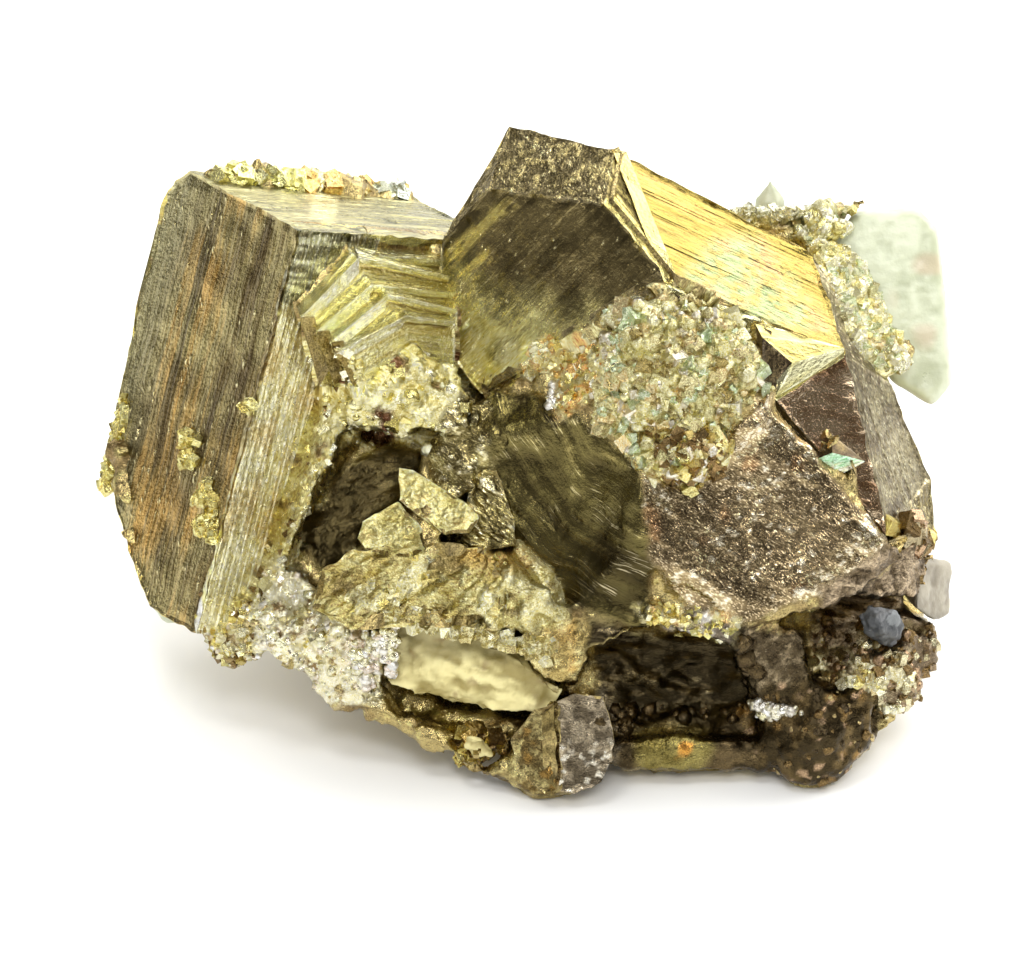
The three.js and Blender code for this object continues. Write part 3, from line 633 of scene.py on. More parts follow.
def shaded_flank(x, y, points):
    """The dark flanks of the little steps."""
    shade = smooth_noise(points / 0.8, 103)
    tone = mixed((0.06, 0.045, 0.03), (0.14, 0.11, 0.06), ramp(shade, -0.5, 0.7))
    return 0.02 * shade, tone, 0.26


def purple_mirror(x, y, points):
    """The side crystal's dark face: purple-brown, mirror smooth, with hair lines."""
    hair = ramp(streaks(x, y, 14, 0.35, 105), 0.55, 0.85)
    cloud = smooth_noise(points / 1.6, 106) + 0.5 * streaks(x, y, 9, 0.8, 107)
    tone = mixed((0.34, 0.21, 0.13), (0.64, 0.49, 0.35), ramp(cloud, -0.7, 0.8))
    tone = mixed(tone, (0.72, 0.55, 0.42), 0.2 * hair)
    return 0.02 + 0.012 * cloud, tone, 0.165


def grainy_grey(x, y, points):
    """The side crystal's right faces: grey gold with fine glitter."""
    cloud = rough_noise(points / 2.2, 111)
    fine = rough_noise(points / 0.3, 110)
    band = streaks(x, y, 6, 0.7, 114)
    tone = mixed((0.18, 0.15, 0.10), (0.38, 0.34, 0.225), ramp(cloud + 0.5 * fine + 0.4 * band, -0.7, 0.9))
    speck = ramp(rough_noise(points / 0.17, 112, 2), 0.5, 0.8)
    tone = mixed(tone, PALE, 0.6 * speck)
    return 0.10 - 0.05 * fine + 0.05 * cloud - 0.05 * band, tone, 0.34 - 0.06 * speck


def plain_striae(x, y, points):
    """The faces at the sides and the back: brassy, grooved, clouded brown."""
    cloud = rough_noise(points / 4.0, 115)
    band = streaks(x, y, 12, 0.9, 116) + 0.5 * streaks(x, y, 5, 0.3, 117)
    tone = mixed(BRASS, UMBER, ramp(cloud - 0.3 * band, -0.2, 0.8))
    speck = beads(x, y, 0.25, 0.8, 118)
    return scratches(x, y, 119, 0.3), mixed(tone, STRAW, speck), 0.36 + 0.08 * cloud


def broad_axes():
    """The broad crystal's directions: down its long edges, to its back and across."""
    down = unit(BROAD_DOWN)
    back = np.asarray(BROAD_BACK)
    back = unit(back - down * (back @ down))
    return down, back, np.cross(down, back)


def broad_place(down_by, back_by, across_by):
    """A place on the broad crystal, from its near top corner."""
    down, back, across = broad_axes()
    return BROAD_CORNER + down_by * down + back_by * back + across_by * across


def broad_crystal():
    """Every face of the broad crystal: its left side, and one face for each edge of that side."""
    down, _, across = broad_axes()
    left = [broad_place(s, t, 0) for t, s in BROAD_SIDE]
    if face_normal(np.array(left)) @ across > 0:
        left = left[::-1]
    skins = [crystal_face(left, down, weathered_side, (0.35, 0.11))]
    for (t0, s0), (t1, s1) in zip(BROAD_SIDE, BROAD_SIDE[1:] + BROAD_SIDE[:1]):
        front = t0 == 0 and t1 == 0
        top = s0 == 0 and s1 == 0
        reach = BROAD_STRIP if front else BROAD_ACROSS
        corners = [broad_place(s0, t0, reach), broad_place(s1, t1, reach), broad_place(s1, t1, 0)]
        corners.append(broad_place(s0, t0, 0))
        look = glitter_strip if front else worn_top if top else plain_striae
        pitch = (0.3, 0.11) if front or top else (0.7, 0.3)
        skins.append(crystal_face(corners, down if front else across, look, pitch))
    return joined(skins)


def nearest_look(corners, looks):
    """The look whose direction lies nearest the face's own."""
    normal = face_normal(corners)
    return max(looks, key=lambda look: normal @ unit(look[0]))


def cut_crystal(points, looks, frayed=WORN):
    """A crystal from its corners: each face gets the look stated for the nearest direction."""
    skins = []
    for corners in hull_faces(points):
        _, grain, look, pitch = nearest_look(corners, looks)
        skins.append(crystal_face(corners, np.asarray(grain, float), look, pitch, frayed))
    return joined(skins)


# Each row: direction, grain, look, and pitch along and over the grain.
TALL_LOOKS = [
    ((-0.47, 0.02, 0.88), (0.7, 0.7, 0.3), dark_mirror, (0.25, 0.15)),
    ((-0.33, 0.52, 0.78), (0.2, 0.9, -0.4), flecked_strip, (0.2, 0.12)),
    ((0.20, 0.53, 0.83), (0.6, -0.75, 0.3), smooth_band, (0.2, 0.1)),
    ((-0.78, 0.48, 0.41), (0.6, 0.75, 0.1), flecked_strip, (0.2, 0.12)),
    ((0.38, 0.86, -0.33), (0.9, -0.4, 0.1), plain_striae, (0.4, 0.15)),
    ((-0.95, 0.1, -0.25), (0.2, 0.9, -0.2), plain_striae, (0.4, 0.2)),
    ((0.9, 0.0, -0.1), (0, 1, 0), plain_striae, (2, 2)),
    ((0.0, -1.0, -0.2), (1, 0, 0), flecked_strip, (0.4, 0.3)),
    ((0.0, 0.0, -1.0), (1, 0, 0), plain_striae, (1, 1)),
]
SIDE_LOOKS = [
    ((0.45, 0.56, 0.70), SIDE_GRAIN, bright_ribs, (0.36, 0.1)),
    ((0.44, 0.10, 0.89), (0.85, -0.2, -0.4), purple_mirror, (0.3, 0.15)),
    ((0.37, 0.20, 0.91), (0.85, 0.45, -0.3), striped_step, (0.15, 0.07)),
    ((0.40, 0.35, 0.85), (0.9, -0.2, -0.3), striped_step, (0.15, 0.07)),
    ((0.16, 0.01, 0.99), (0.9, -0.2, 0), striped_step, (0.15, 0.07)),
    ((0.87, 0.20, 0.45), (0.1, -0.9, -0.3), grainy_grey, (0.25, 0.18)),
    ((0.83, 0.45, 0.32), (0.3, -0.9, -0.3), grainy_grey, (0.25, 0.18)),
    ((0.92, 0.01, 0.38), (0.1, -0.9, -0.3), flecked_strip, (0.25, 0.18)),
    ((0.39, 0.87, -0.31), (0.8, -0.5, 0.3), plain_striae, (0.5, 0.25)),
    ((0.47, 0.77, -0.43), (0.8, -0.5, 0.3), plain_striae, (0.5, 0.25)),
    ((0.82, 0.50, -0.28), (0.3, -0.8, 0.3), plain_striae, (0.5, 0.25)),
    ((0.92, 0.2, -0.3), (0.3, -0.8, 0.3), plain_striae, (0.5, 0.25)),
    ((-0.66, -0.65, 0.37), (0.6, -0.7, 0), shaded_flank, (0.4, 0.3)),
    ((-0.7, -0.7, -0.2), (0.6, -0.7, 0), plain_striae, (2, 2)),
    ((-0.94, -0.34, 0.07), (0.5, -0.8, 0.3), smooth_step, (0.4, 0.3)),
]
STEP_LOOKS = [
    ((0.41, 0.60, 0.68), (0.9, -0.3, -0.3), smooth_step, (0.2, 0.1)),
    ((0.45, 0.39, 0.80), (0.9, -0.3, -0.3), smooth_step, (0.2, 0.1)),
    ((0.34, 0.03, 0.94), (0.85, 0.5, -0.3), striped_step, (0.2, 0.07)),
    ((0.59, -0.12, 0.80), (0.85, 0.5, -0.3), striped_step, (0.2, 0.07)),
    ((0.25, 0.13, 0.96), (0, 1, 0), shaded_flank, (0.2, 0.2)),
    ((-0.7, 0.0, 0.7), (0, 1, 0), shaded_flank, (0.2, 0.2)),
]
TEAL_LOOKS = [
    ((0.1, -0.5, 0.85), (0.85, 0.3, -0.3), teal_step, (0.12, 0.08)),
    ((0.5, 0.57, 0.65), (0.85, -0.3, -0.3), shaded_flank, (0.15, 0.1)),
    ((-0.5, 0.4, 0.7), (0.85, -0.3, -0.3), shaded_flank, (0.15, 0.1)),
]


# ---- Growth steps beside the broad crystal ----
# Left end, peak and right end of the first and the last layer's upper edge, and how far out.
FIRST_STEP = (((-20.6, 14.4), (-16.0, 19.0), (-6.5, 18.4)), 1.4)
LAST_STEP = (((-17.1, 9.8), (-11.4, 13.4), (-6.5, 12.6)), 6.0)
STEP_COUNT = 5
STEP_SLOPE = (-0.45, 1.0, 1.7)  # how far left, up and in each upper edge slopes back
STEP_FOOT = 7.0


def step_depth(u, v, out):
    """How far out a layer lies at a place: parallel to the broad crystal's front face."""
    return 12 + (out - 0.6 * (u + 20.5) + 0.328 * (v - 21)) / 0.729


def step_layers():
    """The corners of each layer: its edge moves evenly from the first step's to the last one's."""
    first, first_out = np.array(FIRST_STEP[0]), FIRST_STEP[1]
    last, last_out = np.array(LAST_STEP[0]), LAST_STEP[1]
    wander = np.random.default_rng(3).normal(0, 0.28, (STEP_COUNT, 3, 2))
    layers = []
    for i, share in enumerate(np.linspace(0, 1, STEP_COUNT)):
        edge = first + share * (last - first) + wander[i]
        out = first_out + share * (last_out - first_out)
        foot = np.array([(edge[2][0], STEP_FOOT), (edge[0][0] + 1.6, STEP_FOOT)])
        front = [(u, v, step_depth(u, v, out)) for u, v in (*edge, *foot)]
        left, up, inward = STEP_SLOPE
        slope = [(u + left, v + up, step_depth(u, v, out - inward)) for u, v in edge]
        deep = [(u, v, step_depth(u, v, out - 6)) for u, v in (*edge, *foot)]
        layers.append(front + slope + deep)
    return layers


def below_edge(points, edge):
    """How far each place lies from a layer's bent upper edge, and where along it."""
    gaps = []
    for start, end in zip(edge, edge[1:]):
        along = unit(end - start)
        gaps.append((points[:, :2] - start) @ (-along[1], along[0]))
    return np.maximum(*gaps), points[:, 0]


def step_flat(points, edge):
    """A growth layer's flat front: yellow, in many thin layers along its edge."""
    gap, along = below_edge(points, edge)
    band = streaks(along, gap, 14, 0.5, 120)
    thin = streaks(along, gap, 8, 0.2, 121)
    tone = mixed((0.98, 0.95, 0.56), (0.86, 0.77, 0.36), ramp(-band - 0.4 * thin, -0.4, 0.8))
    tone = mixed(tone, (0.30, 0.23, 0.09), 0.8 * ramp(-band - 0.5 * thin, 0.7, 1.1))
    sink = 0.09 - 0.06 * band - 0.02 * thin
    return sink, tone, 0.27, np.column_stack([along, gap, 0 * gap])


def step_riser(x, y, points):
    """A growth layer's bright upper edge, itself in thin steps."""
    band = streaks(x, y, 24, 0.36, 122)
    thin = streaks(x, y, 14, 0.15, 124)
    tone = mixed((0.86, 0.79, 0.36), (0.96, 0.93, 0.58), ramp(band, -0.5, 0.6))
    tone = mixed(tone, (0.36, 0.33, 0.14), 0.8 * ramp(-thin - 0.5 * band, 0.6, 0.95))
    tone = mixed(tone, (0.62, 0.78, 0.58), 0.4 * ramp(smooth_noise(points / 1.5, 123), 0.3, 0.8))
    return 0.05 - 0.03 * band - 0.01 * thin, tone, 0.27


def shaded_amber(x, y, points):
    """A block's sides: amber to brown."""
    cloud = rough_noise(points / 0.8, 136)
    tone = mixed((0.34, 0.27, 0.11), (0.13, 0.10, 0.04), ramp(cloud, -0.4, 0.6))
    return 0.08 - 0.06 * cloud, tone, 0.36 + 0.03 * cloud


def flat_look(edge):
    """The look of the flat front under one layer's upper edge."""
    return lambda x, y, points: step_flat(points, edge)


STEP_SIDES = [
    ((-0.56, 0.72, 0.42), (0.68, 0.68, -0.25), step_riser, (0.4, 0.12)),
    ((0.33, 0.89, 0.32), (0.76, -0.05, -0.65), step_riser, (0.4, 0.12)),
    ((-0.6, 0.33, -0.73), (1, 0, 0), step_riser, (3, 3)),
    ((0, -1, 0), (1, 0, 0), step_riser, (3, 3)),
    ((1, 0, -0.3), (0, 1, 0), shaded_amber, (0.5, 0.5)),
    ((-1, -0.3, 0), (0, 1, 0), shaded_amber, (0.5, 0.5)),
]


def growth_steps():
    """All growth layers, each a thin plate with a bevelled upper edge."""
    skins = []
    for layer in step_layers():
        edge = np.array(layer[:3])[:, :2]
        front = ((0.6, -0.33, 0.73), (0.7, 0.7, -0.2), flat_look(edge), (0.21, 0.21))
        skins.append(cut_crystal(layer, [front, *STEP_SIDES], 0.05))
    return joined(skins)


# ---- Tilted blocks in the recess ----
# Outlines of their faces on the show face; each face is flat and leans as its slopes say.
UPPER_BLOCK = [(-11.5, -0.2), (-10.2, -0.5), (-7.9, -2.2), (-5.6, -3.4), (-4.3, -4.6), (-5.2, -6.1),
               (-7.4, -6.3), (-9.2, -5.0), (-11.6, -3.2)]
LOWER_BLOCK = [(-15.4, -6.6), (-14.9, -5.0), (-13.3, -4.1), (-11.7, -3.3), (-11.1, -3.8), (-9.4, -5.9),
               (-9.2, -7.4), (-10.3, -8.2), (-12.8, -8.1), (-14.6, -7.4)]
ROUGH_BLOCK = [(-19.4, -12.6), (-18.3, -9.4), (-15.6, -7.6), (-12.2, -7.2), (-8.4, -7.0), (-4.2, -7.4),
               (-2.4, -10.4), (-2.8, -13.6), (-7.0, -14.4), (-11.5, -14.2), (-16.0, -14.6)]
WALL_BLOCK = [(-5.4, -2.4), (-4.6, -0.8), (-2.8, -0.4), (-1.4, -4.6), (-1.0, -7.4), (-5.2, -7.8),
              (-5.9, -6.8), (-3.8, -5.5)]
KNOB_COLUMN = [(2.7, -21.2), (4.2, -20.5), (6.7, -20.7), (7.5, -23.6), (7.6, -26.4), (6.5, -28.5),
               (4.3, -29.4), (2.9, -29.1)]
FOOT_BLOCK = [(-1.6, -24.6), (0.6, -21.9), (2.4, -21.3), (2.6, -28.9), (1.4, -29.6), (-0.8, -27.8)]


def grainy_gold(x, y, points):
    """A block's broken face: pale gold, finely granular in wavy rows."""
    row = rough_noise(stretched(points, (0.8, -0.55, 0.3), 1.2) / 0.35, 130)
    cloud = rough_noise(points / 1.6, 133)
    tone = mixed((0.58, 0.49, 0.17), (0.96, 0.89, 0.44), ramp(0.6 * row + 0.6 * cloud, -0.8, 0.5))
    tone = mixed(tone, (0.56, 0.37, 0.12), 0.5 * ramp(cloud, 0.4, 0.9))
    return 0.12 - 0.05 * row - 0.10 * cloud, tone, 0.36 + 0.03 * row


def shelf_gold(x, y, points):
    """The big lower block: lumpy and flaking, like the gold shelf it belongs to."""
    height, tone, rough = gold_shelf(points)
    fold = rough_noise(stretched(points, (0.8, 0.5, 0.1), 1.8) / 1.7, 139)
    tone = mixed(tone * (0.78, 0.74, 0.60), (0.16, 0.115, 0.045), 0.8 * ramp(fold, 0.25, 0.7))
    return np.clip(0.1 - 0.6 * height + 0.7 * fold, -0.6, 0.7), tone, 0.9 * rough


def wall_dashes(x, y, points):
    """The block right of the recess: dark, with bright dashes."""
    height, tone, rough = glint_wall(points)
    return np.clip(0.1 - height, -0.4, 0.15), tone, rough


def knob_grey(x, y, points):
    """The grey column of the knob."""
    height, tone, rough = smooth_knob(points)
    return np.clip(0.0 - 0.4 * height, -0.4, 0.1), tone, rough


def foot_brown(x, y, points):
    """The brassy block left of the knob."""
    height, tone, rough = brassy_foot(points)
    return np.clip(0.0 - 0.4 * height, -0.4, 0.1), 0.8 * tone, rough


# How much longer than wide a look's finest lines are, and how many of them glint. A look that
# isn't listed gets PLAIN_GRAIN.
FACE_GRAINS = {
    weathered_side: (9, 0.12), glitter_strip: (3, 0.75), worn_top: (8, 0.1), dark_mirror: (5, 0.12),
    flecked_strip: (2, 0.35), bright_ribs: (12, 0), smooth_step: (8, 0), striped_step: (12, 0.1),
    purple_mirror: (12, 0), grainy_grey: (2.5, 0.4), smooth_band: (12, 0), shaded_flank: (2, 0),
    plain_striae: (6, 0.2), grainy_gold: (1.3, 0.3), shelf_gold: (1.2, 0.4), wall_dashes: (3, 0.8),
    shaded_amber: (1, 0), knob_grey: (1.5, 0.3), foot_brown: (1.2, 0.3),
}
PLAIN_GRAIN = (5, 0.1)


def tilted_block(outline, level, slopes, look=grainy_gold, frayed=0.16, deep=5.0):
    """A block from its face's outline: depth is level plus each slope times u or v.

    Its sides go deep in and draw together a little. frayed is how far its edges wander.
    """
    face = [(u, v, level + slopes[0] * u + slopes[1] * v) for u, v in outline]
    middle = np.mean(face, axis=0)
    foot = [0.92 * np.array(corner) + 0.08 * middle - (0, 0, deep) for corner in face]
    toward = face_normal(np.array(face[:3]))
    toward = toward * np.sign(toward[2])
    looks = [(toward, (0.8, -0.55, 0.3), look, (0.2, 0.2))]
    for u, v in ((1, 0), (-1, 0), (0, 1), (0, -1)):
        looks.append(((u, v, 0.25), (0.5, 0.5, 0.5), shaded_amber, (0.32, 0.25)))
    looks.append(((0, 0, -1), (1, 0, 0), shaded_amber, (1, 1)))
    return cut_crystal([tuple(corner) for corner in face + foot], looks, frayed)


def recess_blocks():
    """The blocks that lie tilted in the recess and beside it."""
    return joined([
        tilted_block(UPPER_BLOCK, 9.4, (0.2, -0.35)),
        tilted_block(LOWER_BLOCK, 9.9, (0.3, -0.4)),
        tilted_block(ROUGH_BLOCK, 10.3, (0.2, -0.18), shelf_gold, 0.34),
        tilted_block(WALL_BLOCK, 9.0, (0.2, 0.0), wall_dashes),
        tilted_block(KNOB_COLUMN, 14.4, (0.0, 0.22), knob_grey),
        tilted_block(FOOT_BLOCK, 10.9, (0.45, 0.12), foot_brown),
    ])


# ---- The broken core ----
CORE_VOXEL = 0.33  # mm across the squares of its front
BACK_VOXEL = 0.7  # and of its back
CORE_ROUNDS = 16  # how often the front is worn before it gets its relief
SEAM_FRONT = -4.0  # the front skins reach back to this depth
SEAM_BACK = -3.0  # and the back skin reaches out to this one
SEAM_ACROSS = -2.0  # where the two front skins meet
TUCK = 0.3  # how far each skin dives under the other at the seam


def even_skin(node, voxel):
    """A CAD node as a skin of even squares: its points, its squares and its directions."""
    source = bmesh.new()
    source.from_mesh(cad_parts[node].data)
    bmesh.ops.remove_doubles(source, verts=source.verts, dist=1e-6)
    mesh = bpy.data.meshes.new("cluster")
    source.to_mesh(mesh)
    source.free()
    carrier = bpy.data.objects.new("cluster", mesh)
    bpy.context.collection.objects.link(carrier)
    remesh = carrier.modifiers.new("even squares", "REMESH")
    remesh.mode = "VOXEL"
    remesh.voxel_size = voxel * MM
    even = carrier.evaluated_get(bpy.context.evaluated_depsgraph_get()).to_mesh()
    points = np.empty(3 * len(even.vertices))
    even.vertices.foreach_get("co", points)
    quads = np.empty(4 * len(even.polygons), np.int32)
    even.polygons.foreach_get("vertices", quads)
    bpy.data.objects.remove(carrier)
    bpy.data.meshes.remove(mesh)
    points = to_work(points.reshape(-1, 3))
    quads = quads.reshape(-1, 4)
    return points, quads, corner_normals(points, quads)


def corner_normals(points, quads):
    """Each corner's outward direction: the crossed diagonals of its squares, added."""
    a, b, c, d = (points[quads[:, i]] for i in range(4))
    crossed = np.cross(c - a, d - b)
    total = np.zeros_like(points)
    for axis in range(3):
        for i in range(4):
            total[:, axis] += np.bincount(quads[:, i], crossed[:, axis], len(points))
    return unit(total)


def worn(points, quads, rounds):
    """The points after rounds of moving each halfway to the middle of its neighbours."""
    ends = np.stack([quads, np.roll(quads, -1, axis=1)], axis=-1).reshape(-1, 2)
    here, there = np.concatenate([ends, ends[:, ::-1]]).T
    count = np.bincount(here, minlength=len(points))[:, None]
    for _ in range(rounds):
        total = [np.bincount(here, points[there, axis], len(points)) for axis in range(3)]
        points = 0.5 * points + 0.5 * np.stack(total, axis=-1) / count
    return points


def open_borders(quads):
    """The loop of corners along each open border of some squares, with the gap on its left."""
    edges = np.stack([quads, np.roll(quads, -1, axis=1)], axis=-1).reshape(-1, 2).astype(np.int64)
    top = edges.max() + 1
    free = edges[~np.isin(edges[:, 0] * top + edges[:, 1], edges[:, 1] * top + edges[:, 0])]
    follow = {}
    for start, end in free:
        follow.setdefault(start, []).append(end)
    loops = []
    while follow:
        loop = [next(iter(follow))]
        while True:
            place = follow[loop[-1]].pop()
            if not follow[loop[-1]]:
                del follow[loop[-1]]
            if place == loop[0]:
                break
            loop.append(place)
        loops.append(np.array(loop[::-1]))
    return loops


def unbent(points, loop):
    """A loop as it is, or parted in two where it turns from one seam's plane to the other's."""
    place = points[loop]
    away = np.abs(place[:, 0] - SEAM_ACROSS) + np.abs(place[:, 2] - SEAM_FRONT)
    high = place[:, 1] > place[:, 1].mean()
    ends = [np.where(high, away, np.inf).argmin(), np.where(high, np.inf, away).argmin()]
    if away[ends].max() > 1:
        return [loop]
    first, last = sorted(ends)
    return [loop[first:last + 1], np.concatenate([loop[last:], loop[:first + 1]])]


def closing_faces(points, quads):
    """Triangles that close each open border of some squares, facing as their loop turns."""
    faces = []
    for loop in open_borders(quads):
        for part in unbent(points, loop):
            corners = points[part]
            turn = np.cross(corners, np.roll(corners, -1, axis=0)).sum(axis=0)
            for triangle in tessellate_polygon([[Vector(corner) for corner in corners]]):
                a, b, c = corners[list(triangle)]
                order = triangle if np.cross(b - a, c - a) @ turn > 0 else triangle[::-1]
                faces.append(part[list(order)])
    return faces


def stretched(points, along, ratio):
    """The points squeezed along one direction, so that noise on them is drawn out that way."""
    along = unit(along)
    return points - (points @ along)[:, None] * along * (1 - 1 / ratio)


# Outlines of the zones, in working millimetres on the show face.
OLIVE_SCAR = [(-4.4, 6.4), (-4.6, 2.0), (-3.0, -8.6), (2.9, -12.6), (10.1, -14.8), (11.2, -8.6),
              (10.2, -1.0), (7.0, 2.6), (4.2, 4.6), (1.1, 6.4)]
GLINT_WALL = [(-9.6, 1.6), (-5.6, 6.8), (-3.6, 6.2), (-3.4, 0.0), (-3.0, -5.4), (-5.0, -4.4), (-8.0, -2.0)]
BRONZE_SCAR = [(10.0, -0.6), (15.5, -1.4), (18.6, 3.6), (20.4, 6.6), (25.4, 1.2), (32.3, -6.8),
               (29.9, -10.4), (24.5, -12.4), (19.1, -14.6), (14.6, -13.3), (11.0, -9.0)]
BRIGHT_LIP = [(9.2, -12.4), (12.4, -12.6), (17.4, -13.0), (19.0, -14.0), (17.8, -16.0), (14.6, -15.4),
              (10.6, -14.2)]
DARK_HOLLOW = [(5.0, -13.6), (12.0, -15.2), (19.4, -14.8), (20.8, -24.6), (16.6, -25.0), (12.6, -23.0),
               (9.6, -24.6), (7.2, -24.0), (6.0, -20.0)]
ROUGH_WALL = [(18.6, -14.6), (25.0, -14.6), (25.6, -20.0), (22.0, -24.0), (18.4, -22.4)]
DARK_FOOT = [(18.4, -21.6), (21.0, -19.6), (25.6, -19.0), (31.4, -19.8), (31.8, -25.0), (28.0, -30),
             (19.4, -30)]
FRONT_RIM = [(7.0, -23.6), (20.0, -23.6), (21.2, -26.4), (20.6, -29.6), (7.0, -29.0)]
KNOB = [(3.6, -20.4), (6.4, -20.4), (7.6, -22.4), (7.8, -30.6), (3.4, -31), (3.2, -26)]
GOLD_FOOT = [(-4.4, -22.8), (3.0, -20.2), (3.2, -31), (-3.6, -31)]
SMOOTH_RECESS = [(-16.0, 0.2), (-12.8, 2.0), (-9.8, 1.6), (-9.6, -1.6), (-11.4, -3.6), (-14.6, -6.8),
                 (-16.0, -11.4), (-18.4, -11.0), (-20.2, -5.6), (-18.0, -2.0)]
BRIGHT_RUBBLE = [(-17.6, 10.6), (-4.0, 10.6), (-4.4, 4.0), (-7.6, 1.6), (-15.8, 1.8), (-18.0, 0.6),
                 (-18.6, 4.4)]
SHADED_SCAR = [(3.0, -12.4), (6.0, -7.0), (7.6, -1.0), (11.4, -0.6), (11.6, -14.8), (6.0, -14.8)]
HOLLOW_EDGE = [(5.6, -22.4), (9.0, -23.4), (13.0, -22.6), (20.0, -23.2), (20.6, -15.4), (18.8, -16.0),
               (18.6, -21.4), (12.6, -21.8), (7.4, -21.6)]
RED_PIT = [(-13.5, 4.9), (-12.2, 4.9), (-11.8, 2.4), (-12.8, 1.8), (-13.4, 2.4)]
SHELF = [(-14.8, -7.0), (-10.4, -7.4), (-7.4, -8.0), (-4.2, -7.0), (-0.6, -7.0), (3.2, -10.6), (3.6, -14.0),
         (1.0, -15.6), (-6.0, -13.8), (-11.0, -13.4), (-15.4, -13.6), (-20.6, -16.6), (-19.4, -13.4),
         (-16.8, -11.6), (-16.6, -8.4)]
VEIN_EDGE = [(-1.2, -15.6), (2.4, -12.6), (5.6, -14.6), (5.4, -20.4), (3.0, -21.0), (-0.2, -17.8)]
LOW_LEFT = [(-30, -9.0), (-21.0, -8.4), (-18.4, -12.6), (-16.4, -14.4), (-12.4, -15.2), (-13.2, -21.6),
            (-30, -22)]
WEST_RIDGE = [(-20.8, 11.0), (-16.6, 10.8), (-17.2, 1.0), (-19.8, -8.0), (-26.8, -14.6), (-29.4, -13.6)]
CRUMBLY_FOOT = [(-30.0, -10.8), (-26.4, -11.6), (-24.6, -13.4), (-24.6, -19.8), (-31.0, -19.0)]
EAST_CRUMBS = [(24.6, 24.0), (31.0, 22.6), (33.8, 10.8), (37.6, 4.0), (33.6, 6.6), (28.0, 10.6),
               (25.2, 18.6)]
DRUSE = [(6.8, 14.6), (12.8, 15.7), (17.3, 13.7), (20.6, 12.4), (20.6, 8.8), (22.0, 7.0),
         (19.7, 5.9), (18.8, 4.1), (17.3, 2.9), (17.3, -0.2), (14.9, -1.4), (11.3, -1.4),
         (7.4, 2.3), (5.9, 2.9), (5.9, 8.8)]
TOP_RIDGE = [(17.6, 24.4), (25.0, 24.8), (27.6, 22.8), (27.6, 20.0), (22.4, 20.8), (18.2, 22.2)]
EAST_FOOT = [(25.4, -13.2), (31.6, -14.4), (37.4, -15.0), (37.8, -19.0), (31.6, -22.8), (31.0, -19.4),
             (25.6, -18.8)]
PLATY_FOOT = [(26.2, -10.8), (31.4, -7.6), (34.0, -6.8), (38.4, -8.6), (38.4, -14.6), (31.4, -14.4),
              (25.8, -14.2)]
OLIVE_PATCH = [(9.6, -24.0), (12.6, -22.6), (16.0, -23.4), (16.6, -25.6), (15.0, -28.6), (10.0, -28.4)]
ORANGE_BAND = [(1.2, 10.8), (5.6, 11.6), (6.8, 9.0), (4.6, 5.2), (2.6, 4.0), (2.0, 7.6)]
# Patches of other colours within these zones.
WHITE_CRUMBS = [(19.4, -20.8), (21.4, -20.6), (21.0, -22.6), (19.6, -22.8)]
# A patch of painted light on the recess wall.
LIT_RECESS = [(-13.6, 0.2), (-11.4, 0.6), (-11.4, -3.2), (-13.6, -3.6)]
AMBER_SHELF = [(-6.8, -6.6), (-1.4, -6.8), (0.4, -9.4), (-2.4, -9.6), (-6.4, -9.0)]
COOL_SHELF = [(-9.0, -9.4), (-4.4, -9.2), (-4.0, -12.6), (-8.4, -12.8)]
ROSY_FOOT = [(-15.6, -13.4), (-12.6, -14.2), (-12.4, -18.2), (-16.4, -17.6)]
BROWN_PATCH = [(11.2, 2.8), (17.8, 3.2), (17.4, -0.6), (14.0, -2.2), (11.6, -1.0)]
PALE_PATCH = [(25.2, -16.8), (28.4, -16.4), (35.0, -18.6), (34.4, -20.6), (30.8, -19.4), (25.4, -19.4)]


def lumps(points, big, small, fine):
    """Blocky relief in three sizes, in mm of height each, and the small cubes' own shares."""
    height = 0
    share = np.zeros(len(points))
    for amount, size, salt in ((big, 2.4, 210), (small, 1.0, 214), (fine, 0.5, 218)):
        if amount:
            stand, share = cube_lumps(points, size, salt)
            height = height + amount * (stand / size - 0.3)
    return height, share


def rubble_zone(points):
    """Broken, blocky pyrite: the finish of the core wherever no zone says otherwise."""
    height, share = lumps(points, 1.1, 0.5, 0.16)
    cloud = rough_noise(points / 3.2, 222)
    tone = mixed((0.50, 0.41, 0.19), (0.25, 0.18, 0.085), ramp(cloud, -0.3, 0.7))
    tone = mixed(tone, STRAW, 0.6 * ramp(share, 0.75, 0.9))
    return height, tone, 0.30 + 0.05 * cloud


def broken(points, sizes, blot, salt):
    """Lumps, the small cubes' shares and, for the tone, mist in blots some mm across."""
    return *lumps(points, *sizes), rough_noise(points / blot, salt)


def west_ridge(points):
    """The rough gold ridge beside the broad crystal's front strip."""
    height, share, mist = broken(points, (0, 0.5, 0.3), 0.9, 226)
    tone = mixed((0.62, 0.54, 0.22), (0.92, 0.86, 0.50), ramp(share, 0.2, 0.9))
    tone = mixed(tone, (0.24, 0.17, 0.07), ramp(mist, 0.2, 0.7))
    return height + 0.14 * mist, tone, 0.34 - 0.05 * share


def bright_rubble(points):
    """The dazzling crumbs under the growth steps, with pits between them darkened as painted shade."""
    height, share = lumps(points, 0.3, 0.5, 0)
    roll = rough_noise(points / 1.5, 227, 2)
    pit_shade = ramp(smooth_noise(points / 1.2, 228), 0.45, 0.7)
    tone = mixed((0.78, 0.69, 0.30), (0.98, 0.94, 0.60), ramp(share + 0.6 * roll, -0.2, 0.8))
    # Painted shade in the pits. The red pit keeps its red and is darkened the same way.
    tone = mixed(tone, (0.13, 0.06, 0.03), pit_shade)
    tone = mixed(tone, (0.10, 0.035, 0.02), within(points, RED_PIT, 0.4))
    return height + 0.45 * roll - 0.6 * pit_shade, tone, 0.36 + 0.05 * share


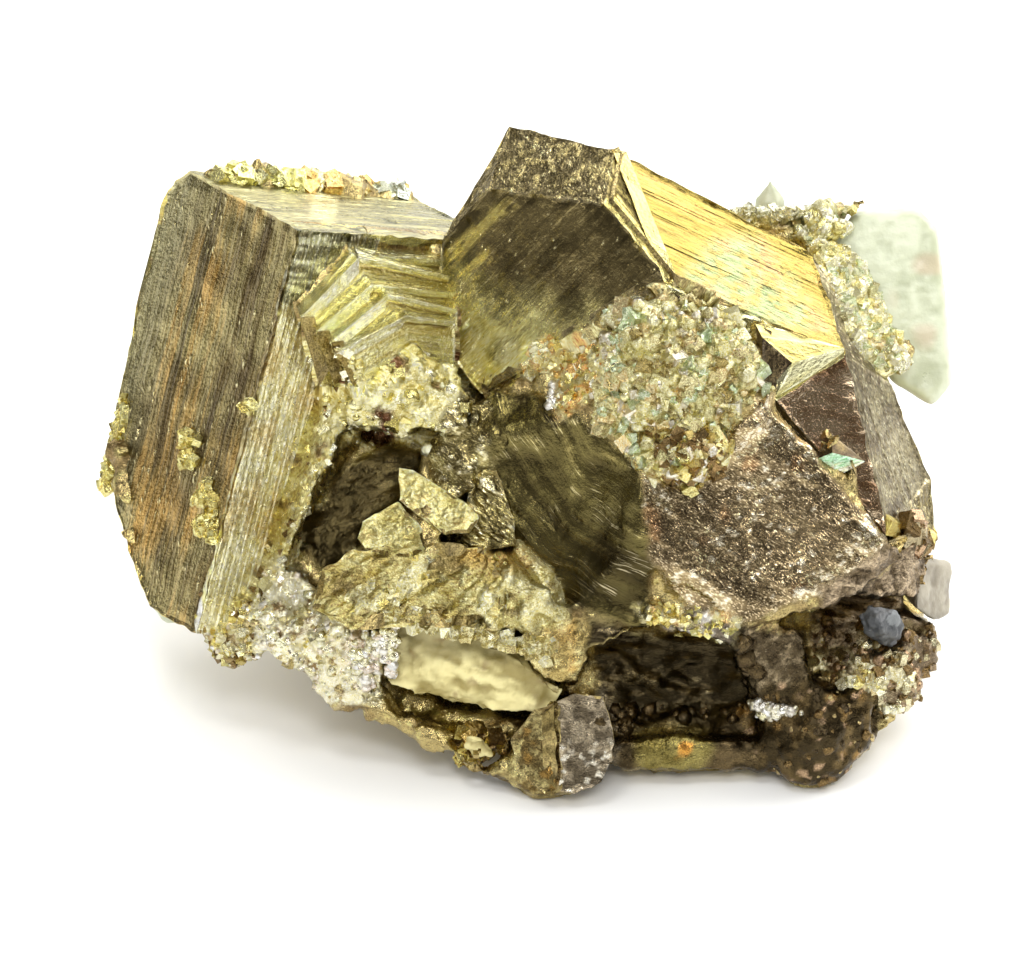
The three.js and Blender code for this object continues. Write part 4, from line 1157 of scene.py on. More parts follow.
def flow_lines(points):
    """Long arcs round a centre far up to the right: the distance along them and across them."""
    away = points[:, :2] - np.array([20.0, 12.0])
    arc = 20 * np.arctan2(away[:, 1], away[:, 0])
    bend = 0.9 * smooth_noise(points / 5.0, 229) + 0.25 * smooth_noise(points / 2.5, 230)
    return arc, np.linalg.norm(away, axis=1) + bend + 0.02 * smooth_noise(points / 0.8, 231)


def olive_scar(points):
    """Broken like glass: long arcs in dark olive with thin gold glints along them."""
    arc, bent = flow_lines(points)
    wide = streaks(arc, bent, 12, 1.5, 232)
    middling = streaks(arc, bent, 8, 0.5, 236)
    thin = streaks(arc, bent, 9, 0.3, 233)
    mist = rough_noise(points / 0.8, 234)
    cloud = rough_noise(points / 3.0, 235)
    lit = ramp(0.4 * wide + 0.4 * middling + 0.2 * mist + 0.8 * cloud, -0.8, 1.2)
    tone = mixed((0.060, 0.050, 0.020), (0.22, 0.19, 0.07), lit)
    tone = tone * (1 - 0.45 * within(points, SHADED_SCAR, 1.5))[:, None]
    glint = ramp(0.8 * middling + 0.3 * thin + 0.25 * mist + 0.35 * cloud, 0.65, 1.2)
    tone = mixed(tone, (0.50, 0.42, 0.17), 0.7 * glint)
    relief = 0.12 * wide + 0.08 * middling + 0.22 * cloud + 0.05 * glint
    return relief, tone, 0.225 - 0.02 * glint


def glint_wall(points):
    """The wall between the recess and the olive scar: dark, with rows of bright gold dashes."""
    drawn = stretched(points, (0.85, -0.5, 0.1), 3.0)
    dash = rough_noise(drawn / 0.32, 237)
    crowd = smooth_noise(points / 1.8, 238)
    tone = mixed((0.15, 0.125, 0.05), (0.46, 0.40, 0.17), ramp(rough_noise(points / 1.4, 239), -0.5, 0.7))
    glint = ramp(dash + 0.6 * crowd, 0.35, 0.7)
    tone = mixed(tone, (0.95, 0.87, 0.55), glint)
    return 0.2 * ramp(dash, -0.4, 0.8) + 0.35 * crowd, tone, 0.27 - 0.04 * glint


def bronze_scar(points):
    """A bronze break full of small bright dashes, all drawn out down to the right."""
    drawn = stretched(points, (0.8, -0.6, 0), 3.0)
    dash = rough_noise(drawn / 0.28, 240)
    over = points @ (0.6, 0.8, 0.2) + 0.5 * smooth_noise(points / 2.0, 241)
    ridge = streaks(points @ (0.8, -0.6, 0), over, 7, 2.3, 242)
    plates, share = cube_lumps(drawn, 1.1, 244)
    cloud = rough_noise(points / 2.8, 246)
    tone = mixed((0.16, 0.12, 0.07), (0.42, 0.325, 0.19), ramp(0.7 * cloud + share + 0.3 * ridge, -0.3, 1.4))
    tone = mixed(tone, (0.40, 0.20, 0.09), 0.5 * ramp(smooth_noise(points / 2.2, 247), 0.35, 0.8))
    glint = ramp(dash + 0.35 * cloud + 0.2 * ridge, 0.52, 0.75)
    tone = mixed(tone, (0.98, 0.87, 0.68), glint)
    tone = mixed(tone, (0.07, 0.05, 0.03), 0.7 * ramp(-dash - 0.5 * ridge, 0.4, 0.9))
    relief = 0.13 * ramp(dash, -0.6, 0.9) + 0.12 * plates + 0.24 * ridge - 0.12
    return relief, tone, 0.25 - 0.03 * glint


def bright_lip(points):
    """Yellow crumbs in patches along the edge between the bronze break and the hollow."""
    height, share, mist = broken(points, (0, 0.8, 0.3), 0.9, 248)
    tone = mixed((0.80, 0.72, 0.34), (0.95, 0.90, 0.66), ramp(share, 0.3, 0.9))
    tone = mixed(tone, (0.80, 0.46, 0.18), 0.7 * ramp(smooth_noise(points / 1.1, 249), 0.35, 0.6))
    silver = ramp(smooth_noise(points / 1.9, 250), -0.15, 0.1)
    tone = mixed(tone, mixed((0.14, 0.12, 0.10), (0.95, 0.90, 0.84), ramp(mist, 0.1, 0.5)), silver)
    return height, tone, 0.30 + 0.05 * share


def shaded_hollow(points):
    """Smooth ledges that lie nearly level, toned near black as painted shade under the overhang."""
    layered = stretched(points, (1, -0.12, 0), 2.5)
    ledge = rough_noise(layered / 1.4, 251, 2)
    # Painted shade: the hollow sits under an overhang, so its tone stays near black.
    tone = mixed((0.022, 0.018, 0.011), (0.085, 0.068, 0.037), ramp(ledge, -0.1, 0.9))
    tone = mixed(tone, (0.30, 0.25, 0.15), 0.6 * ramp(rough_noise(layered / 0.4, 253, 2), 0.8, 1.0))
    height, _ = lumps(points, 1.0, 0.3, 0)
    return height + 0.5 * ledge, tone, 0.26 + 0.04 * ledge


def rough_wall(points):
    """Broken wall at the right of the hollow, darkened as painted shade, with a few pale crumbs."""
    height, share, mist = broken(points, (0.8, 0.5, 0.25), 1.1, 254)
    # Painted shade: the wall's tone stays dark inside the shaded hollow.
    tone = mixed((0.05, 0.038, 0.025), (0.26, 0.21, 0.14), ramp(mist + share, 0.1, 1.4))
    white = within(points, WHITE_CRUMBS, 0.4)
    return height, mixed(tone, (0.95, 0.92, 0.84), 0.9 * white * ramp(mist, -0.5, 0.2)), 0.28 + 0.05 * share


def shaded_foot(points):
    """The brown-mottled lump at the bottom right, kept nearly black as painted shade."""
    height, share, mist = broken(points, (0.7, 0.4, 0.12), 1.0, 256)
    # Painted shade: the underside lies in shadow, so its base tone stays near black.
    tone = mixed((0.028, 0.021, 0.012), (0.12, 0.085, 0.04), ramp(mist, -0.1, 0.8))
    tone = mixed(tone, (0.36, 0.22, 0.08), 0.6 * ramp(smooth_noise(points / 1.3, 257), 0.45, 0.8))
    return height, mixed(tone, BRONZE, ramp(share, 0.93, 0.97)), 0.25 + 0.06 * share


def front_rim(points):
    """The rim under the hollow: black-brown as painted shade, with an olive patch and a spot of rust."""
    height, share, mist = broken(points, (0.9, 0.4, 0.12), 1.2, 258)
    # Painted shade: near-black base tone where the underside lies in shadow.
    tone = mixed((0.035, 0.026, 0.015), (0.13, 0.095, 0.05), ramp(mist, -0.2, 0.8))
    olive = within(points, OLIVE_PATCH, 0.7)
    tone = mixed(tone, mixed((0.17, 0.14, 0.04), (0.30, 0.26, 0.09), ramp(mist, -0.4, 0.5)), olive)
    rust = np.linalg.norm(points[:, :2] - (14.1, -25.4), axis=1) + 0.5 * mist
    tone = mixed(tone, (0.72, 0.34, 0.07), ramp(rust, 1.1, 0.5))
    return height, tone, 0.27 + 0.04 * share


def smooth_recess(points):
    """The smooth olive wall of the recess, darkened as painted shade, lighter along its right as painted
    light.
    """
    sweep = rough_noise(stretched(points, (0.7, 0.5, 0.4), 3.0) / 1.8, 260)
    # Painted shade in the recess, with painted light on the LIT_RECESS patch.
    tone = mixed((0.030, 0.024, 0.010), (0.062, 0.050, 0.022), ramp(sweep, -0.6, 0.7))
    lit = within(points, LIT_RECESS, 1.2)
    return 0.35 * sweep, mixed(tone, (0.11, 0.09, 0.04), 0.7 * lit), 0.26 + 0.02 * sweep


def gold_shelf(points):
    """The pale, lumpy gold shelf, crumbling along every edge, amber along its top."""
    height, share = lumps(points, 0.4, 0.4, 0.12)
    roll = rough_noise(points / 1.7, 262)
    mist = rough_noise(points / 0.6, 264)
    tone = mixed((0.70, 0.62, 0.28), (0.96, 0.91, 0.56), ramp(0.8 * roll + share + 0.3 * mist, -0.2, 1.0))
    tone = mixed(tone, (0.26, 0.20, 0.09), 0.75 * ramp(mist - 0.5 * roll, 0.35, 0.9))
    amber = within(points, AMBER_SHELF, 0.8)
    tone = mixed(tone, (0.62, 0.43, 0.15), 0.8 * amber)
    cool = within(points, COOL_SHELF, 1.0)
    tone = mixed(tone, (0.80, 0.86, 0.66), 0.5 * cool * ramp(mist, -0.2, 0.4))
    return height + 0.4 * roll + 0.08 * mist, tone, 0.40 + 0.03 * mist


def vein_edge(points):
    """Brassy, flaking rock right of the quartz vein."""
    height, share, mist = broken(points, (0.5, 0.5, 0.2), 1.1, 265)
    tone = mixed((0.40, 0.31, 0.12), (0.74, 0.64, 0.32), ramp(share + 0.6 * mist, 0.0, 1.1))
    tone = mixed(tone, (0.60, 0.38, 0.12), 0.5 * ramp(smooth_noise(points / 1.3, 267), 0.2, 0.7))
    return height, tone, 0.28 + 0.04 * share


def glinting_foot(points):
    """Silvery, dazzling crumbs at the bottom left."""
    height, share, mist = broken(points, (0.4, 0.6, 0.24), 1.4, 266)
    tone = mixed((0.90, 0.84, 0.56), (0.99, 0.96, 0.80), share)
    tone = mixed(tone, (0.24, 0.17, 0.085), ramp(mist, 0.4, 0.75))
    rosy = within(points, ROSY_FOOT, 0.9)
    return height, mixed(tone, (0.98, 0.76, 0.68), 0.6 * rosy), 0.32 + 0.05 * share


def crumbly_foot(points):
    """The gold-brown lump at the foot of the broad crystal."""
    height, share, mist = broken(points, (0.4, 0.4, 0.2), 1.2, 269)
    tone = mixed((0.82, 0.76, 0.42), (0.30, 0.23, 0.11), ramp(mist - 0.2 * (points[:, 1] + 14), -0.2, 0.8))
    return height, mixed(tone, PALE, 0.5 * ramp(share, 0.7, 0.9)), 0.28 + 0.04 * share


def smooth_knob(points):
    """The grey-brown knob at the lowest point, with beads of white at its foot."""
    height, share, mist = broken(points, (1.0, 0.5, 0.2), 0.9, 268)
    tone = mixed((0.12, 0.10, 0.075), (0.36, 0.31, 0.235), ramp(mist, -0.4, 0.6))
    white = ramp(share, 0.8, 0.95) * ramp(points[:, 1], -23.5, -26)
    return height + 0.1 * mist, mixed(tone, (0.9, 0.85, 0.74), white), 0.28 + 0.03 * mist


def brassy_foot(points):
    """Brass and brown lumps along the front of the underside."""
    height, share, mist = broken(points, (0.8, 0.6, 0.2), 1.2, 270)
    tone = mixed((0.16, 0.115, 0.045), (0.66, 0.57, 0.27), ramp(share + mist, 0.1, 1.4))
    tone = mixed(tone, (0.48, 0.29, 0.08), 0.7 * ramp(-mist, 0.4, 0.8))
    return height, tone, 0.27 + 0.05 * share


def east_crumbs(points):
    """Yellow, teal and pink crumbs between the side crystal and the quartz."""
    height, share = lumps(points, 0.5, 0.6, 0.24)
    hue = smooth_noise(points / 1.1, 272)
    tone = mixed((0.78, 0.70, 0.36), (0.95, 0.93, 0.70), ramp(share, 0.2, 0.9))
    tone = mixed(tone, TEAL, 0.5 * ramp(hue, 0.2, 0.5))
    tone = mixed(tone, ROSE, 0.4 * ramp(-hue, 0.35, 0.6))
    tone = mixed(tone, (0.34, 0.28, 0.14), ramp(rough_noise(points / 0.8, 274), 0.4, 0.7))
    return height, tone, 0.34 + 0.06 * share


def druse_bed(points):
    """The floor between the druse's cubes."""
    height, share = lumps(points, 0, 0.5, 0.2)
    cloud = rough_noise(points / 2.0, 275)
    tone = mixed((0.28, 0.22, 0.09), (0.80, 0.75, 0.43), ramp(share + 0.4 * cloud, 0.1, 0.9))
    return height, tone, 0.38 + 0.06 * share


def stained_band(points):
    """The orange-gold edge left of the druse."""
    height, share, mist = broken(points, (0.2, 0.5, 0.25), 1.0, 276)
    tone = mixed((0.86, 0.78, 0.44), (0.74, 0.46, 0.18), ramp(mist, -0.1, 0.6))
    return height, mixed(tone, STRAW, ramp(share, 0.8, 0.9)), 0.36 + 0.05 * mist


def mixed_foot(points):
    """Pale and brown crumbs round the lower right corner, with a black gap under them."""
    height, share, mist = broken(points, (0.8, 0.5, 0.22), 1.3, 278)
    tone = mixed((0.16, 0.12, 0.08), (0.52, 0.45, 0.30), ramp(share + mist, 0.4, 1.4))
    pale = within(points, PALE_PATCH, 0.6)
    tone = mixed(tone, (0.84, 0.78, 0.52), pale * ramp(mist, -0.7, 0.3))
    return height + 0.4 * pale, tone, 0.36 + 0.06 * share


def platy_foot(points):
    """Grey-brown plates under the side crystal's lower end."""
    layered = stretched(points, (0.95, -0.2, 0.1), 3.0)
    plate = rough_noise(layered / 0.9, 280)
    fine = rough_noise(layered / 0.3, 282)
    tone = mixed((0.12, 0.09, 0.06), (0.46, 0.37, 0.27), ramp(plate + 0.5 * fine, -0.5, 0.9))
    return 0.35 * plate + 0.06 * fine, tone, 0.34 + 0.05 * fine


# Zones of the show face, from the first painted to the last, and how soft their borders are.
ZONES = [
    (west_ridge, WEST_RIDGE, 0.5), (bright_rubble, BRIGHT_RUBBLE, 0.5),
    (olive_scar, OLIVE_SCAR, 0.4), (glint_wall, GLINT_WALL, 0.6), (bronze_scar, BRONZE_SCAR, 0.4),
    (rough_wall, ROUGH_WALL, 0.5), (shaded_hollow, DARK_HOLLOW, 0.6), (bright_lip, BRIGHT_LIP, 0.4),
    (mixed_foot, EAST_FOOT, 0.5), (platy_foot, PLATY_FOOT, 0.5), (shaded_foot, DARK_FOOT, 0.5),
    (front_rim, FRONT_RIM, 0.9), (vein_edge, VEIN_EDGE, 0.5),
    (smooth_recess, SMOOTH_RECESS, 0.5), (gold_shelf, SHELF, 0.5), (glinting_foot, LOW_LEFT, 0.6),
    (crumbly_foot, CRUMBLY_FOOT, 0.6), (brassy_foot, GOLD_FOOT, 0.5), (smooth_knob, KNOB, 1.0),
    (east_crumbs, EAST_CRUMBS, 0.5), (east_crumbs, TOP_RIDGE, 0.5),
    (stained_band, ORANGE_BAND, 0.5), (druse_bed, DRUSE, 0.5),
]


def along_arcs(points):
    """The olive scar's fine grain: drawn out along its arcs."""
    arc, bent = flow_lines(points)
    return np.column_stack([arc / 22, bent, points[:, 2] / 22])


# For a zone: where each point lies in its fine grain, and how many of its grains glint.
GRAINS = {
    olive_scar: (along_arcs, lambda points: 0.15 + 0.75 * ramp(rough_noise(points / 2.2, 243), 0.0, 0.5)),
    bronze_scar: (lambda points: stretched(points, (0.8, -0.6, 0), 3.5), 0.95),
    glint_wall: (lambda points: stretched(points, (0.85, -0.5, 0.1), 3.5), 0.85),
    shaded_hollow: (lambda points: stretched(points, (1, -0.12, 0), 4.0), 0.0),
    smooth_recess: (lambda points: stretched(points, (0.7, 0.5, 0.4), 4.0), 0.0),
    platy_foot: (lambda points: stretched(points, (0.95, -0.2, 0.1), 4.0), 0.2),
    west_ridge: (lambda points: stretched(points, (-0.3, -0.9, -0.2), 3.0), 0.5),
    bright_rubble: (None, 0.7), gold_shelf: (None, 0.45), smooth_knob: (None, 0.4), shaded_foot: (None, 0.1),
}


def core_look(points, outward):
    """Relief, tone, roughness and grain of the broken core, zone by zone over the show face.

    A zone's share comes from its outline, with a wandering border, and from how far the surface
    faces out. Each zone is worked out only where it has a share.
    """
    wander = np.stack([smooth_noise(points / 1.6, 200 + axis) for axis in range(3)], axis=-1)
    place = points + 0.5 * wander
    showing = ramp(outward[:, 2], -0.1, 0.25) * ramp(points[:, 2], -4, -1)
    relief, tone, rough = rubble_zone(points)
    flow = points.copy()
    spark = np.full(len(points), 0.2)
    for look, outline, soft in ZONES:
        share = within(place, outline, soft) * showing
        inside = share > 0
        zone = look(points[inside])
        relief[inside] = mixed(relief[inside], zone[0], share[inside])
        tone[inside] = tone[inside] + (zone[1] - tone[inside]) * share[inside, None]
        rough[inside] = mixed(rough[inside], zone[2], share[inside])
        most = share > 0.5
        placed, sparks = GRAINS.get(look, (None, 0.3))
        flow[most] = placed(points[most]) if placed else points[most]
        amount = np.zeros(len(points))
        amount[inside] = sparks(points[inside]) if callable(sparks) else sparks
        spark = mixed(spark, amount, share)
    return relief, tone, rough, flow, spark


UPWARD = np.array([0, math.cos(FACE_TILT), math.sin(FACE_TILT)])  # the row frame's +Z
REST_LEVEL = -ORIGIN[2]  # height of the sawn underside


def crystal_bodies():
    """The flat faces of each body that is made by itself and hides the core under it."""
    strip = [broad_place(s, t, c) for t, s in BROAD_SIDE for c in (0, BROAD_STRIP)]
    broad = [broad_place(s, max(2, t), c) for t, s in BROAD_SIDE for c in (0, BROAD_ACROSS)]
    cut = (TALL_POINTS, SIDE_POINTS, BRIGHT_STEP, TEAL_STEP)
    return [hull_faces(body) for body in (strip, broad, *cut, *step_layers(), SHARED_RIDGE)]


def core_skin(even, kept, tuck):
    """One part of the core: kept squares, raised by the zones' relief, sunk under the crystals.

    tuck gives how far each point dives under the skin it meets. The bodies are gone through
    twice, because a point pushed out of one may end in another.
    """
    points, quads, outward = even
    used, index = np.unique(quads[kept], return_inverse=True)
    points, outward, quads = points[used], outward[used], index.reshape(-1, 4)
    relief, tone, rough, flow, spark = core_look(points, outward)
    relief = relief - TUCK * tuck(points[:, 2])
    sawn = (points @ UPWARD < REST_LEVEL + 0.4) & (outward @ UPWARD < -0.9)
    moved = points + np.where(sawn, 0, relief)[:, None] * outward
    for faces in 2 * crystal_bodies():
        sunk, share = sunk_under(points, faces)
        moved = mixed(moved, sunk, share)
    below = np.maximum(0, REST_LEVEL - moved @ UPWARD)
    moved = moved + below[:, None] * UPWARD
    return Skin(moved, quads, tone, rough, closing_faces(points, quads), flow, spark), outward


def front_dive(depth):
    """How far a front skin tucks in where it meets the back."""
    return ramp(depth, SEAM_BACK, SEAM_FRONT)


def core_skins():
    """The front in two skins of fine squares, and the back in one of coarse squares."""
    points, quads, _ = even_skin("pyrite_cluster", CORE_VOXEL)
    points = worn(points, quads, CORE_ROUNDS)
    even = points, quads, corner_normals(points, quads)
    middles = points[quads].mean(axis=1)
    ahead = middles[:, 2] > SEAM_FRONT
    left = middles[:, 0] < SEAM_ACROSS
    yield core_skin(even, ahead & left, front_dive)
    yield core_skin(even, ahead & ~left, front_dive)
    even = even_skin("pyrite_cluster", BACK_VOXEL)
    behind = even[0][even[1]].mean(axis=1)[:, 2] < SEAM_BACK
    yield core_skin(even, behind, lambda depth: ramp(depth, SEAM_FRONT, SEAM_BACK))


# ---- Quartz and sphalerite ----
STONE_VOXEL = 0.27


def stone(node, rounds, look, salt):
    """A quartz or sphalerite piece: the CAD solid in even squares, worn, with its own relief."""
    points, quads, _ = even_skin(node, STONE_VOXEL)
    points = worn(points, quads, rounds)
    outward = corner_normals(points, quads)
    relief, tone, rough = look(points, salt)
    return Skin(points + relief[:, None] * outward, quads, tone, rough)


def milky(points, salt):
    """Dull greenish quartz, with rusty clouds."""
    roll = rough_noise(points / 2.0, salt)
    fine = rough_noise(points / 0.6, salt + 3)
    tone = mixed((0.50, 0.54, 0.36), (0.74, 0.78, 0.58), ramp(roll + 0.3 * fine, -0.7, 0.6))
    tone = mixed(tone, (0.60, 0.42, 0.28), 0.6 * ramp(smooth_noise(points / 3.0, salt + 6), 0.35, 0.8))
    return 0.10 * roll + 0.04 * fine, tone, 0.36 + 0.06 * roll


def yellowed(points, salt):
    """The quartz vein: sugary, honey yellow to cream in bands, brown stains, painted shadow along its top.
    """
    roll = rough_noise(points / 1.6, salt)
    band = rough_noise(stretched(points, (0.9, -0.35, 0.2), 3.0) / 1.3, salt + 9)
    sugar, share = cube_lumps(points, 0.9, salt + 3)
    blocky, _ = cube_lumps(points, 2.2, salt + 12)
    tone = mixed((0.30, 0.24, 0.07), (0.86, 0.78, 0.38), ramp(band + 0.4 * roll + 0.3 * share, -0.3, 0.7))
    # Painted shadow: the upper part, under the overhanging ledge, is toned darker.
    upper = ramp(points[:, 1] - 0.1 * points[:, 0], -17.6, -15.6)
    tone = mixed(tone, (0.36, 0.32, 0.15), 0.65 * upper)
    tone = mixed(tone, (0.26, 0.18, 0.07), 0.8 * ramp(rough_noise(points / 1.3, salt + 6), 0.5, 1.0))
    return 0.25 * roll + 0.5 * sugar + 0.6 * blocky + 0.2 * band - 0.75, tone, 0.50 + 0.08 * share


def smoky(points, salt):
    """Dull grey-brown quartz."""
    roll = rough_noise(points / 1.6, salt)
    fine = rough_noise(points / 0.5, salt + 3)
    tone = mixed((0.20, 0.17, 0.12), (0.42, 0.38, 0.29), ramp(roll + 0.3 * fine, -0.7, 0.6))
    return 0.15 * roll + 0.05 * fine, tone, 0.42 + 0.06 * roll


def pitted_blue(points, salt):
    """The sphalerite grain: dark blue-grey in flat, uneven faces, one of them paler."""
    roll = rough_noise(points / 1.3, salt)
    fine = rough_noise(points / 0.35, salt + 3)
    tone = mixed((0.010, 0.013, 0.016), (0.045, 0.048, 0.048), ramp(roll + 0.5 * fine, -0.5, 0.9))
    plates, share = cube_lumps(points, 1.8, salt + 6)
    tone = mixed(tone, (0.15, 0.16, 0.16), ramp(share, 0.8, 0.85))
    return 0.12 * roll + 0.05 * fine + 0.55 * plates - 0.5, tone, 0.42 + 0.1 * share


# ---- Small crystals ----
CUBE_CORNERS = np.array([[x, y, z] for x in (-1, 1) for y in (-1, 1) for z in (-1, 1)]) / 2
CUBE_QUADS = np.array([[0, 1, 3, 2], [4, 6, 7, 5], [0, 4, 5, 1], [2, 3, 7, 6], [0, 2, 6, 4], [1, 5, 7, 3]])


def bead_shape():
    """A rounded grain: a cube's faces split in four and blown halfway out to a ball."""
    patches, quads = [], []
    for axis in range(3):
        for side in (-1, 1):
            ways = [-1, 0, 1] if side > 0 else [1, 0, -1]
            patch = np.empty((3, 3, 3))
            patch[..., axis] = side
            first, second = np.meshgrid(ways, [-1, 0, 1], indexing="ij")
            patch[..., (axis + 1) % 3], patch[..., (axis + 2) % 3] = first, second
            quads.append(grid_faces(3, 3)[:, ::-1] + 9 * len(patches))
            patches.append(patch.reshape(-1, 3))
    corners, index = np.unique(np.concatenate(patches), axis=0, return_inverse=True)
    quads = index.reshape(-1)[np.concatenate(quads)]
    return corners * (0.36 + 0.26 * (1 / np.linalg.norm(corners, axis=1) - 0.58))[:, None], quads


CUBE = (CUBE_CORNERS, CUBE_QUADS)
BEAD = bead_shape()


def frames_about(outward):
    """For each direction, three axes with that direction last."""
    spare = np.where(np.abs(outward[:, :1]) < 0.8, [[1.0, 0, 0]], [[0, 1.0, 0]])
    first = unit(np.cross(spare, outward))
    return np.stack([first, np.cross(outward, first), outward], axis=-1)


def small_shapes(tones, roughness, places, outward, sizes, seed, lean=0.35, shape=CUBE):
    """A small shape at each place, one corner out, turned at random about its outward direction.

    A copy's corners are its place plus its turn times the shape's corners, stretched along each
    of its axes.
    """
    random = np.random.default_rng(seed)
    count = len(places)
    corners, quads = shape
    tilted = unit(outward + lean * random.normal(size=(count, 3)))
    angle = 2 * math.pi * random.random(count)
    spin = np.zeros((count, 3, 3))
    spin[:, 0, 0] = spin[:, 1, 1] = np.cos(angle)
    spin[:, 0, 1], spin[:, 1, 0] = -np.sin(angle), np.sin(angle)
    spin[:, 2, 2] = 1
    corner_out = frames_about(unit(np.array([[1.0, 1, 1]])))[0].T
    turns = frames_about(tilted) @ spin @ corner_out
    edges = sizes[:, None] * (0.75 + 0.5 * random.random((count, 3)))
    turned = np.einsum("nij,nkj->nki", turns, corners * edges[:, None, :]) + places[:, None, :]
    quads = quads + len(corners) * np.arange(count)[:, None, None]
    return Skin(
        turned.reshape(-1, 3), quads.reshape(-1, 4),
        np.repeat(tones, len(corners), axis=0), np.repeat(roughness, len(corners)),
    )


def coloured(random, palette, rough, places, *others):
    """Small shapes with tones from a palette, each a little lighter or darker, rougher or not."""
    count = len(places)
    tones = np.array(palette)[random.integers(0, len(palette), count)]
    tones = tones * (0.8 + 0.35 * random.random((count, 1)))
    roughness = rough + 0.06 * random.normal(size=count)
    return small_shapes(tones, roughness, places, *others)


def crust(core, outline, count, sizes, palette, seed, rough=0.3, lean=0.35, sunk=0.2, shape=CUBE):
    """Small shapes over the stretch of a core skin that an outline on the show face marks."""
    skin, outward = core
    random = np.random.default_rng(seed)
    share = within(skin.points, outline, 0.4) * ramp(outward[:, 2], 0, 0.3)
    share = share * ramp(skin.points[:, 2], -5, -3)
    picked = random.choice(len(skin.points), count, p=share / share.sum())
    size = sizes[0] + (sizes[1] - sizes[0]) * random.random(count) ** 2
    places = skin.points[picked] - sunk * size[:, None] * outward[picked]
    return coloured(random, palette, rough, places, outward[picked], size, seed + 1, lean, shape)


def heap(middle, out, radii, count, sizes, palette, seed, rough=0.3, lean=0.5, shape=CUBE):
    """A low heap of small shapes on a flat face: places spread over an oval, higher in its middle."""
    random = np.random.default_rng(seed)
    share = np.sqrt(random.random(count))
    angle = 2 * math.pi * random.random(count)
    out = unit(out)
    side, up = frames_about(out[None])[0].T[:2]
    size = sizes[0] + (sizes[1] - sizes[0]) * random.random(count)
    height = radii[2] * (1 - share**2)
    ragged = 0.8 + 0.35 * np.sin(3 * angle + seed) + 0.2 * np.sin(5 * angle)
    places = np.asarray(middle) + (radii[0] * ragged * share * np.cos(angle))[:, None] * side
    places = places + (radii[1] * ragged * share * np.sin(angle))[:, None] * up + height[:, None] * out
    outward = np.repeat(out[None], count, axis=0)
    return coloured(random, palette, rough, places, outward, size, seed + 1, lean, shape)


# Little heaps on the broad crystal: place along and across it, radii, count.
LEDGE_HEAPS = [
    (22.4, 7.6, (0.9, 1.3, 0.3), 70), (24.2, 7.0, (0.8, 1.2, 0.35), 70),
    (26.4, 3.4, (1.1, 1.6, 0.4), 110), (28.6, 2.2, (1.4, 1.6, 0.4), 120),
    (17.0, 0.9, (0.4, 1.2, 0.1), 30),
]
# The row along its upper end: place, size in mm, tone.
BACK_ROW = [
    (2.4, 1.3, (0.86, 0.80, 0.36)), (4.6, 1.9, (0.90, 0.86, 0.36)), (6.4, 1.3, (0.84, 0.82, 0.50)),
    (8.2, 1.6, (0.80, 0.80, 0.40)), (10.0, 2.1, (0.92, 0.86, 0.34)), (11.8, 1.7, (0.90, 0.60, 0.22)),
    (13.4, 1.9, (0.88, 0.84, 0.50)), (15.0, 1.8, (0.90, 0.62, 0.26)), (16.8, 1.5, (0.88, 0.70, 0.34)),
    (18.6, 1.5, (0.86, 0.62, 0.28)), (20.4, 1.3, (0.70, 0.74, 0.60)), (22.2, 1.3, (0.66, 0.72, 0.66)),
]


# Heaps of rounded grains: middle, direction, radii, count, sizes, palette, seed, roughness.
BEAD_HEAPS = [
    ((-12.8, -15.8, 8.4), (-0.3, -0.2, 1), (2.4, 1.8, 0.6), 110, (0.4, 1.0), ROSY, 390, 0.3),
    ((-14.6, -17.6, 6.6), (-0.4, -0.2, 1), (2.2, 1.7, 0.5), 100, (0.4, 1.1), ROSY, 391, 0.3),
    ((22.0, -22.0, 6.9), (-0.3, -0.2, 1), (0.8, 2.4, 0.4), 60, (0.4, 1.1),
     [PALE, WHITE_METAL, (0.9, 0.86, 0.7)], 392, 0.34),
    ((33.4, -21.0, 5.2), (0.4, 0, 1), (1.4, 1.5, 0.4), 50, (0.4, 1.1),
     [(0.7, 0.64, 0.44), PALE, UMBER], 393, 0.34),
    ((26.5, 21.6, -1.9), (0, 0.3, 1), (1.7, 2.0, 0.6), 90, (0.5, 1.4),
     [STRAW, PALE, (0.86, 0.82, 0.5)], 394, 0.36),
    ((2.2, 5.4, 9.2), (0, 0, 1), (1.6, 0.3, 0.1), 14, (0.7, 1.0), [WHITE_METAL], 395, 0.3),
]


def druse_cubes(right):
    """The druse of intergrown cubes, with its brown patch and its orange edge."""
    return joined([
        crust(right, DRUSE, 950, (0.5, 1.5), DRUSE_TONES, 300, 0.4, lean=0.3, sunk=0.3),
        crust(right, BROWN_PATCH, 240, (0.4, 1.1), BROWNS, 304, 0.36, sunk=0.0),
        crust(right, ORANGE_BAND, 160, (0.3, 0.8), ORANGE_TONES, 302),
    ])


def ledge_cubes():
    """Heaps on the broad crystal's ledges, and a line of them near its lower edge."""
    out = -broad_axes()[2]
    heaps = [
        heap(broad_place(s, t, 0.1), out, radii, count, (0.3, 0.8), GOLDEN, seed)
        for seed, (s, t, radii, count) in enumerate(LEDGE_HEAPS, 330)
    ]
    line = [
        heap(broad_place(s, 17.5, 0.2), (-0.9, 0, 0.3), (0.9, 1.2, 0.1), 40, (0.3, 0.8), GOLDEN, 345 + s)
        for s in range(23, 31)
    ]
    return heaps, line


def shelf_lip():
    """Nine little heaps in a line along the golden shelf's front edge."""
    return [
        heap((-12 + 1.7 * i, -13.2 - 0.42 * i, 10 + 0.2 * i), (0, 0.3, 1), (1.2, 0.8, 0.3), 44,
             (0.25, 0.8), LIP_TONES, 370 + i, 0.4)
        for i in range(9)
    ]


